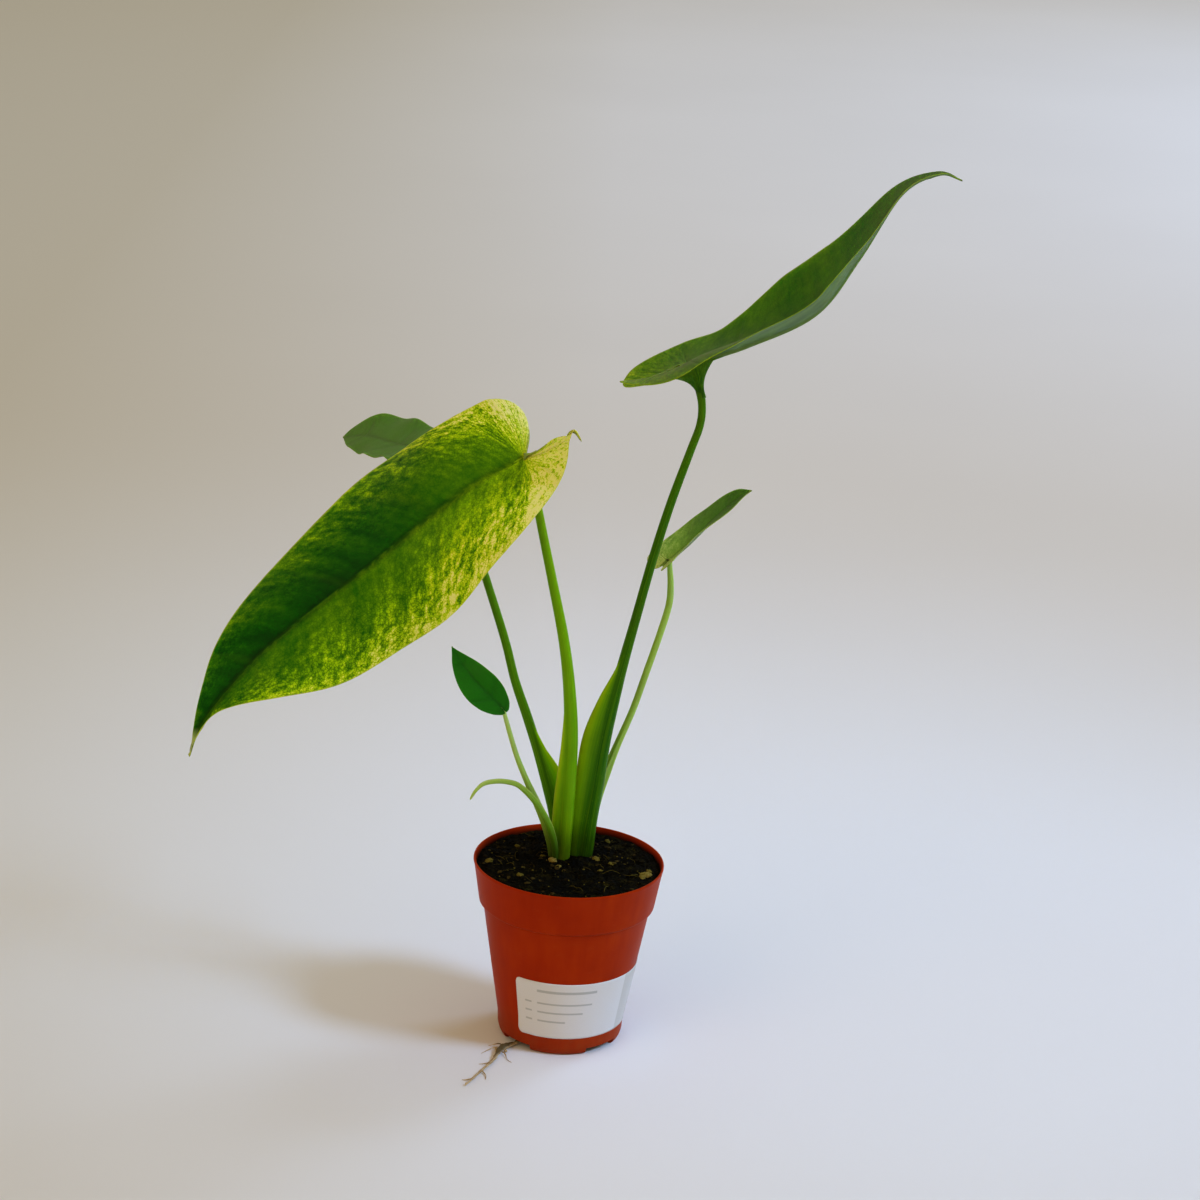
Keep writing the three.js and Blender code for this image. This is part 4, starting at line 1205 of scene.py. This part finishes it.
def leaf_top(name, leaf, finish, streaks, flecks, shine, vein_tint):
    material, tree, shader = new_finish("blade_top_" + name, finish["gloss"], glow=0.35)
    growth = uv_place(tree, "UVMap")
    flat = uv_place(tree, "flat")
    pale = noted(tree, "pale")
    margin = 2.6 * leaf["half_width"] * CENTIMETRES * len(leaf["spine"]) / 3
    vein = leaf["half_width"] / math.sin(VEIN_ANGLE) * CENTIMETRES
    axes = axes_of(growth)
    along, across = axes["X"], axes["Y"]
    band = noise_value(scaled(growth, (margin, vein * 0.12, 1)), 0.85, 3, 0.5)
    streak = noise_value(scaled(growth, (margin, vein * 0.12, 1)), 2.4, 5, 0.6)
    fleck = noise_value(scaled(growth, (margin, vein * 0.55, 1)), 3.8, 5, 0.65)
    net = add_node(tree, "TexVoronoi", {"Vector": flat, "Scale": 7.0}, feature="DISTANCE_TO_EDGE")
    net_line = spread(net.outputs["Distance"], 0.0, 0.12)
    long_marks = times(spread(band, 0.0, 1.0, -0.35, 0.35), streaks)
    vein_marks = times(spread(streak, 0.0, 1.0, -0.36, 0.36), streaks)
    fleck_marks = times(spread(fleck, 0.0, 1.0, -0.5, 0.5), flecks)
    net_marks = times(math_node("SUBTRACT", net_line, 0.8), NET_TINT)
    small_marks = times(plus(fleck_marks, net_marks), math_node("MINIMUM", plus(pale, 0.1), 0.85))
    marks = plus(plus(long_marks, vein_marks), small_marks)
    outwards = spread(across, 0.05, 0.7, BY_THE_MIDRIB, 1.0)
    tone = plus(pale, times(marks, outwards))
    color = ramp(tone, *finish["greens"])

    order = times(along, leaf["veins"])
    to_vein = math_node("PINGPONG", order, 0.5)
    fine_order = times(along, leaf["veins"] * 5)
    to_fine = math_node("PINGPONG", fine_order, 0.5)
    beside = axes_of(flat)["Y"]
    off_middle = math_node("ABSOLUTE", beside)
    veined = spread(to_vein, 0.0, 0.055, 1.0, 0.0)
    fine_veined = spread(to_fine, 0.0, 0.3, 1.0, 0.0)
    middle = spread(off_middle, 0.03, 0.11, 1.0, 0.0)
    lines = math_node("MAXIMUM", times(veined, 0.14), times(middle, 0.2))
    tinted = mixed(lines, color, vein_tint)
    rim = spread(across, 0.975, 0.992)
    edged = mixed(times(rim, 0.4), tinted, finish["margin"])
    point = spread(math_node("PINGPONG", along, 1.0), *finish["point"])
    edged = mixed(point, edged, (0.42, 0.50, 0.22))
    pores = noise_value(flat, 22, 4, 0.7)
    rough = plus(spread(streak, 0.3, 0.7, shine, shine + 0.1), spread(pores, 0.3, 0.7, -0.03, 0.03))
    coloured(shader, edged, rough)

    height = math_node("SUBTRACT", times(net_line, 0.25), times(veined, 0.8))
    height = math_node("SUBTRACT", height, times(fine_veined, 0.35))
    height = plus(height, times(pores, 0.3))
    bumped(shader, height, 0.00022, 0.6)
    return material


# %% [markdown]
# The underside is paler, greyer and duller, with its veins standing out. The margin is a
# thin, almost glassy yellow-green line.

# %% Underside and margin
def leaf_underside(name, leaf, dark, light):
    material, tree, shader = new_finish("blade_under_" + name, 0.2, glow=0.35)
    growth = uv_place(tree, "UVMap")
    flat = uv_place(tree, "flat")
    pale = noted(tree, "pale")
    streak = noise_value(scaled(growth, (14, 1.2, 1)), 1.6, 5, 0.6)
    pores = noise_value(flat, 18, 4, 0.7)
    tone = plus(times(pale, 0.5), streak)
    color = ramp(tone, (0.35, dark), (0.95, light))
    axes = axes_of(growth)
    order = times(axes["X"], leaf["veins"])
    veined = spread(math_node("PINGPONG", order, 0.5), 0.02, 0.09, 1.0, 0.0)
    beside = axes_of(flat)["Y"]
    middle = spread(math_node("ABSOLUTE", beside), 0.1, 0.2, 1.0, 0.0)
    lines = math_node("MAXIMUM", times(veined, 0.4), middle)
    raised_lines = mixed(times(lines, 0.6), color, (0.18, 0.27, 0.05))
    coloured(shader, raised_lines, spread(pores, 0.3, 0.7, 0.52, 0.62))
    height = plus(veined, times(pores, 0.3))
    bumped(shader, height, 0.0002, 0.5)
    return material


def leaf_margin(name, color):
    material, tree, shader = new_finish("blade_margin_" + name, 0.2, glow=0.4)
    flat = uv_place(tree, "flat")
    patches = noise_value(flat, 3.0, 4)
    darker = tuple(part * 0.6 for part in color)
    shades = ramp(patches, (0.3, darker), (0.7, color))
    coloured(shader, shades, spread(patches, 0.3, 0.7, 0.4, 0.5))
    bumped(shader, patches, 0.0001, 0.4)
    return material


# %% [markdown]
# The five leaves are at different ages and turned to the light differently, so each gets its
# own greens: the big one runs up to butter yellow, the tall one stays dark with olive lobes,
# the back and right ones are grey-green, and the smallest is a clean bluish green.

# %% Leaf finishes
LEAF_FINISHES = {
    "large": {
        "slot": "blade_mottled", "gloss": 0.1, "point": (0.9, 0.93),
        "greens": [
            (0.0, (0.001, 0.030, 0.0003)), (0.15, (0.007, 0.060, 0.0004)),
            (0.3, (0.028, 0.115, 0.0005)), (0.42, (0.065, 0.160, 0.0005)),
            (0.52, (0.115, 0.230, 0.0006)), (0.62, (0.210, 0.370, 0.0008)),
            (0.72, (0.360, 0.540, 0.002)), (0.82, (0.550, 0.700, 0.015)),
            (0.92, (0.730, 0.810, 0.120)), (1.0, (0.850, 0.870, 0.330)),
        ],
        "marks": (1.0, 2.1, 0.4, (0.060, 0.160, 0.001)),
        "under": [(0.050, 0.110, 0.020), (0.30, 0.38, 0.08)],
        "margin": (0.68, 0.78, 0.10),
    },
    "tall": {
        "slot": "blade_dark", "gloss": 0.25, "point": (0.97, 1.0),
        "greens": [
            (0.0, (0.014, 0.069, 0.0011)), (0.3, (0.063, 0.138, 0.0046)),
            (0.55, (0.138, 0.230, 0.0080)), (0.8, (0.287, 0.391, 0.023)),
            (1.0, (0.517, 0.575, 0.115)),
        ],
        "marks": (0.6, 2.2, 0.34, (0.040, 0.110, 0.002)),
        "under": [(0.062, 0.135, 0.042), (0.20, 0.31, 0.11)],
        "margin": (0.30, 0.40, 0.03),
    },
    "back": {
        "slot": "blade_grey", "gloss": 0.2, "point": (0.97, 1.0),
        "greens": [
            (0.0, (0.048, 0.113, 0.016)), (0.4, (0.094, 0.190, 0.034)), (1.0, (0.218, 0.333, 0.081)),
        ],
        "marks": (0.16, 0.4, 0.44, (0.050, 0.100, 0.020)),
        "under": [(0.070, 0.130, 0.050), (0.15, 0.22, 0.09)],
        "margin": (0.20, 0.30, 0.03),
    },
    "right": {
        "slot": "blade_grey", "gloss": 0.2, "point": (0.97, 1.0),
        "greens": [
            (0.0, (0.041, 0.109, 0.011)), (0.3, (0.115, 0.218, 0.037)), (0.6, (0.230, 0.368, 0.063)),
            (1.0, (0.598, 0.667, 0.253)),
        ],
        "marks": (0.6, 1.6, 0.4, (0.060, 0.120, 0.012)),
        "under": [(0.080, 0.140, 0.050), (0.24, 0.32, 0.13)],
        "margin": (0.32, 0.42, 0.07),
    },
    "left": {
        "slot": "blade_dark", "gloss": 0.2, "point": (0.97, 1.0),
        "greens": [
            (0.0, (0.0080, 0.098, 0.0023)), (0.3, (0.016, 0.149, 0.0080)), (1.0, (0.063, 0.253, 0.029)),
        ],
        "marks": (0.3, 0.5, 0.34, (0.012, 0.110, 0.006)),
        "under": [(0.050, 0.140, 0.030), (0.14, 0.27, 0.07)],
        "margin": (0.16, 0.30, 0.05),
    },
}
for name, finish in LEAF_FINISHES.items():
    piece = blades[name]
    leaf = LEAVES[name]
    top = leaf_top(name, leaf, finish, *finish["marks"])
    piece.data.materials[0] = top
    piece.data.materials[1] = leaf_underside(name, leaf, *finish["under"])
    piece.data.materials[2] = leaf_margin(name, finish["margin"])
    hand_over(piece, finish["slot"], "blade_" + name)

# %% [markdown]
# The stalks follow the model's paths, except that their feet stand closer together inside
# the pot, and that some sheath wings are wider and turned to the side that the photograph
# shows. At the top, where the model stops just under the blade, the real stalk runs on into
# the midrib, so the path gets three more points that follow the leaf's spine from below and
# fade out in it. The tall leaf's stalk also flares into a small collar there, which is a
# wrapped grid of its own with both ends closed.

# %% Stalk paths
STALKS = {
    "large": {
        "path": [
            (-3.4, 7.5, 76.5), (-3.2, 6.5, 88.8), (-2.6, 6, 115.7), (-2.4, 5, 146.3), (-4.3, 3, 171.7),
            (-8.2, 2, 196.5), (-15, 0, 225.9), (-20.2, -2, 247.8), (-25, -5, 268.9),
            (-28.4, -8, 281.8),
        ],
        "radii": [3.3, 3.6, 3.7, 3.4, 2.9, 2.5, 2.2, 2.05, 1.95, 1.9],
        "wings": [2.2, 3.0, 3.4, 1.6, 0, 0, 0, 0, 0, 0],
        "inner": (-1, 0.4, 0),
    },
    "tall": {
        "path": [
            (5.5, 12.5, 76.5), (6.9, 12, 87.2), (8.4, 11.5, 103.9), (11, 11, 124.7),
            (13.2, 10, 145.4), (16.3, 9, 165), (19.8, 8, 184.4), (24.5, 7, 207.7),
            (30.6, 6, 237.5), (37.1, 6, 264.3), (44.3, 7, 288.7), (48, 8, 301.3),
            (48.2, 8, 311.2), (45.6, 7.4, 321.4),
        ],
        "radii": [3.8, 4.2, 3.9, 3.6, 3.2, 2.9, 2.5, 2.2, 2.1, 2, 1.85, 1.8, 1.8, 2.1],
        "wings": [2, 5, 6.5, 8, 8, 5.5, 0.8, 0, 0, 0, 0, 0, 0, 0],
        "inner": (-1, 0.2, 0),
    },
    "back": {
        "path": [
            (-4, 17.5, 76.5), (-5, 18.5, 84), (-7.3, 19, 99.9), (-12.6, 20, 118.1),
            (-18.2, 21, 135.2), (-23.8, 22, 150.7), (-30.4, 24, 167.6), (-36.1, 26, 186.6),
            (-45.9, 29, 213.7), (-54.7, 33, 236.5), (-62, 36, 253),
        ],
        "radii": [2.9, 3.2, 3, 2.7, 2.4, 2.3, 2.1, 2, 1.9, 1.8, 1.7],
        "wings": [1, 4, 5.5, 7, 2.4, 0, 0, 0, 0, 0, 0],
        "inner": (1, 0.2, 0),
    },
    "right": {
        "path": [
            (7, 18.5, 76.5), (7.8, 20, 84), (9.6, 20, 98.1), (12, 20, 112.1),
            (15.6, 20, 125.6), (19.8, 20, 140.1), (26, 20, 158.1), (31, 20, 176.4),
            (36.7, 21, 197.3), (39.7, 22, 210.5), (39.8, 22.8, 220),
        ],
        "radii": [2.3, 2.6, 2.2, 2, 1.85, 1.7, 1.6, 1.6, 1.6, 1.6, 1.5],
        "wings": [0, 1.5, 2, 2, 1.2, 0.3, 0, 0, 0, 0, 0],
        "inner": (-1, -0.4, 0),
    },
    "left": {
        "path": [
            (-7.5, 9, 76.5), (-8.6, 5.5, 90.1), (-12.2, 0, 104.8), (-17.4, -5, 119.1),
            (-22.5, -10, 132.3), (-26.6, -14, 143.6), (-30.2, -17.6, 155.8), (-32.5, -20, 164.3),
        ],
        "radii": [1.8, 1.8, 1.7, 1.6, 1.4, 1.25, 1.15, 1.05],
        "wings": [0, 0.8, 1.2, 1, 0.3, 0, 0, 0],
        "inner": (1, 0.6, 0),
    },
    "strap": {
        "path": [
            (-5.5, 8, 76.5), (-7, 2.5, 91.9), (-9.6, -3, 103.7), (-12.9, -7.5, 112.4),
            (-16.7, -10.5, 119.7), (-21.3, -13.5, 126), (-25.7, -15.5, 130.2), (-30.6, -17, 132),
            (-35.7, -18.5, 132.5), (-41.1, -20, 131.6), (-44.6, -21, 128.5), (-47.1, -22, 124.1),
        ],
        "radii": [1.4, 1.4, 1.4, 1.4, 1.3, 1.2, 1.1, 1, 0.95, 0.85, 0.7, 0.35],
        "wings": [0, 0.5, 0.8, 0.8, 0.8, 0.8, 0.8, 0.7, 0.7, 0.6, 0.4, 0.1],
        "inner": (0.4, 0.3, 1),
    },
}
JOINT_STEPS = [(0.0, 0.75), (0.05, 0.5), (0.11, 0.15)]
COLLARS = {
    "tall": {"foot": (48.1, 8, 314.5), "radius": 1.85, "behind": 14, "ahead": 13, "half": 3.6},
}
COLLAR_SIDES = 40
COLLAR_RINGS = 24
COLLAR_SINK = -0.4
COLLAR_FLARE = 2.4


def onto_midrib(name, plan):
    path, radii, wings = [list(plan[key]) for key in ("path", "radii", "wings")]
    if name not in LEAVES:
        return path, radii, wings
    leaf = LEAVES[name]
    line = spine_line(leaf)
    behind = line[1][CURVE_STEPS]
    length = line[1][-1] - behind
    for share, shrink in JOINT_STEPS:
        at = behind + share * length
        up = leaf_axes(leaf, line, at)[1]
        radius = plan["radii"][-1] * shrink
        depth = BLADE_THICKNESS + max(0.7 * leaf["rib"], radius - 0.3)
        path.append(tuple(spine_point(line, at) - up * depth))
        radii.append(radius)
        wings.append(0)
    return path, radii, wings


def collar(name, plan):
    leaf = LEAVES[name]
    line = spine_line(leaf)
    middle = bent_place(leaf, line, 0, 0, 1, COLLAR_SINK)
    foot = Vector(plan["foot"])

    def corner(x, y):
        turned = 2 * math.pi * x
        far = plan["ahead"] if math.cos(turned) > 0 else plan["behind"]
        beside = plan["half"] * math.sin(turned)
        side = 1 if beside > 0 else -1
        ahead_by = far * math.cos(turned)
        edge = bent_place(leaf, line, ahead_by, abs(beside), side, COLLAR_SINK) - middle
        ring = Vector((math.cos(turned), -math.sin(turned), 0)) * plan["radius"]
        flare = y ** COLLAR_FLARE
        return (foot.lerp(middle, y) + ring * (1 - flare) + edge * flare) * MM

    piece = wrapped_grid("collar", COLLAR_SIDES, COLLAR_RINGS, corner)
    join_corners(piece)
    with edit_mode():
        bpy.ops.mesh.fill_holes(sides=0)
        face_outwards()
    return piece


# %% [markdown]
# The skin of a stalk is smooth and satiny with faint lines along its length. It is yellower
# near the ground. The sheath wings are painted paler and brighter out to the rim: partly a
# real pale rim, partly painted light shining through the thin wings. The foot just above the
# soil is painted darker, as painted shade with some soil dirt. Like the leaves, it reads the
# UV map that came with the grid, where one way runs round the stalk and the other along it.

# %% Stalk skin
STALK_SHINE = 0.34


def stalk_skin(name, low, middle, upper, pale_and_glow_color):
    material, tree, shader = new_finish("stalk_" + name, 0.12, glow=0.4)
    growth = uv_place(tree, "UVMap")
    place = object_place(tree)
    rim = noted(tree, "rim")
    along = axes_of(growth)["Y"]
    lines = noise_value(scaled(growth, (26, 1.6, 1)), 3.0, 4, 0.6)
    specks = noise_value(scaled(place, (1, 1, 0.35)), 1500, 3)
    patches = noise_value(place, 60, 3)
    shift = times(math_node("SUBTRACT", patches, 0.5), 0.3)
    base = ramp(plus(along, shift), (0.0, low), (0.22, middle), (0.9, upper))
    lined = mixed(spread(lines, 0.4, 0.75, 0.0, 0.35), base, pale_and_glow_color)
    flecked = mixed(spread(specks, 0.62, 0.75, 0.0, 0.3), lined, pale_and_glow_color)
    # Painted light: the wings take the bright pale colour, partly a real pale rim, partly light through
    # them.
    edged = mixed(times(rim, 0.85), flecked, pale_and_glow_color)
    high = axes_of(place)["Z"]
    # Painted shade with some soil dirt: each stalk goes dark green from 106 mm down to the soil.
    foot_shade_and_dirt = plus(spread(high, 0.086, 0.106, 0.75, 0.0), spread(patches, 0.3, 0.7, -0.12, 0.12),
                  clamp=True)
    edged = mixed(foot_shade_and_dirt, edged, (0.012, 0.022, 0.002))
    coloured(shader, edged, spread(lines, 0.3, 0.7, STALK_SHINE, STALK_SHINE + 0.12))
    height = plus(times(lines, 0.8), times(specks, 0.3))
    bumped(shader, height, 0.00015, 0.5)
    return material


STALK_FINISHES = {
    "large": ("stalk_yellow", (0.200, 0.330, 0.006), (0.155, 0.390, 0.001),
              (0.265, 0.460, 0.006), (0.400, 0.600, 0.012)),
    "tall": ("stalk_dark", (0.032, 0.140, 0.002), (0.016, 0.120, 0.0008),
             (0.070, 0.190, 0.003), (0.300, 0.560, 0.003)),
    "back": ("stalk_dark", (0.080, 0.230, 0.003), (0.065, 0.210, 0.001),
             (0.140, 0.290, 0.012), (0.340, 0.700, 0.004)),
    "right": ("stalk_pale", (0.210, 0.370, 0.030), (0.330, 0.510, 0.080),
              (0.410, 0.590, 0.140), (0.520, 0.680, 0.180)),
    "left": ("stalk_pale", (0.140, 0.280, 0.010), (0.280, 0.450, 0.060),
             (0.480, 0.620, 0.220), (0.540, 0.660, 0.240)),
    "strap": ("stalk_pale", (0.100, 0.260, 0.006), (0.150, 0.340, 0.012),
              (0.390, 0.530, 0.130), (0.430, 0.570, 0.120)),
}
for name, plan in STALKS.items():
    path, radii, wings = onto_midrib(name, plan)
    piece = stalk("stem_" + name, path, radii, wings, plan["inner"])
    if name in COLLARS:
        joined(piece, collar(name, COLLARS[name]))
    slot, *colors = STALK_FINISHES[name]
    piece.data.materials.append(stalk_skin(name, *colors))
    hand_over(piece, slot, "stalk_" + name)

# %% [markdown]
# The set is a pale floor that fills the picture. A cool window is the main light, from the
# right and a little in front. A second window lights the floor far behind, and a warm wall
# at the left gives some light back. The room adds a warm, even light, which is most of what
# the shadow to the left of the pot gets. All three lamps are soft spots. Their places, powers
# and colours come from a search for the lamps that give the photograph's brightness at a few
# spots, and were then rounded and adjusted. The floor isn't plain: it carries painted shade
# that makes it darker and warmer towards the left, to follow the photograph's background.

# %% Floor and light
FLOOR_SIZE = 40
SHADED_LEFT_FROM = (-0.5, 0.0, 1.0, 0.0)
SHADED_FLOOR_COLOR = (0.655, 0.625, 0.545)
ROOM_COLOR = (0.432, 0.376, 0.265)
LIGHTS = {
    "window": {
        "place": (1.95, -0.5, 1.75), "aim": (0.2, 0.1, 0), "cone": 20, "size": 0.5,
        "power": 390, "color": (0.44, 0.64, 1.0),
    },
    "far_window": {
        "place": (2.6, 2.4, 2.2), "aim": (0.9, 2.4, 0), "cone": 130, "size": 0.8,
        "power": 260, "color": (0.50, 0.67, 1.0),
    },
    "warm_wall": {
        "place": (-1.5, -1.7, 1.3), "aim": (0, 0.2, 0.1), "cone": 70, "size": 1.2,
        "power": 64, "color": (1.0, 0.66, 0.38),
    },
}

bpy.ops.object.select_all(action="DESELECT")
bpy.ops.mesh.primitive_plane_add(size=FLOOR_SIZE)
floor = bpy.context.object
floor.name = "floor"
material, tree, shader = new_finish("floor_paper", 0.2)
place = object_place(tree)
cloud = noise_value(place, 1.5, 3)
paper = ramp(cloud, (0.2, (0.76, 0.76, 0.77)), (0.8, (0.80, 0.80, 0.81)))
# Painted shade: the floor turns darker and warmer from x = 0 to x = -0.5 m.
floor_with_painted_shade = mixed(spread(axes_of(place)["X"], *SHADED_LEFT_FROM), paper, SHADED_FLOOR_COLOR)
coloured(shader, floor_with_painted_shade, spread(cloud, 0.2, 0.8, 0.7, 0.8))
floor.data.materials.append(material)

for name, plan in LIGHTS.items():
    lamp = bpy.data.objects.new(name, bpy.data.lights.new(name, "SPOT"))
    lamp.data.spot_size = math.radians(plan["cone"])
    lamp.data.spot_blend = 1
    lamp.data.shadow_soft_size = plan["size"]
    lamp.data.energy = plan["power"]
    lamp.data.color = plan["color"]
    aim = Vector(plan["aim"]) - Vector(plan["place"])
    facing = aim.to_track_quat("-Z", "Y").to_matrix().to_4x4()
    lamp.matrix_world = Matrix.Translation(plan["place"]) @ facing
    bpy.context.collection.objects.link(lamp)

world = bpy.data.worlds.new("room")
bpy.context.scene.world = world
world.use_nodes = True
world.node_tree.nodes["Background"].inputs["Color"].default_value = (*ROOM_COLOR, 1)
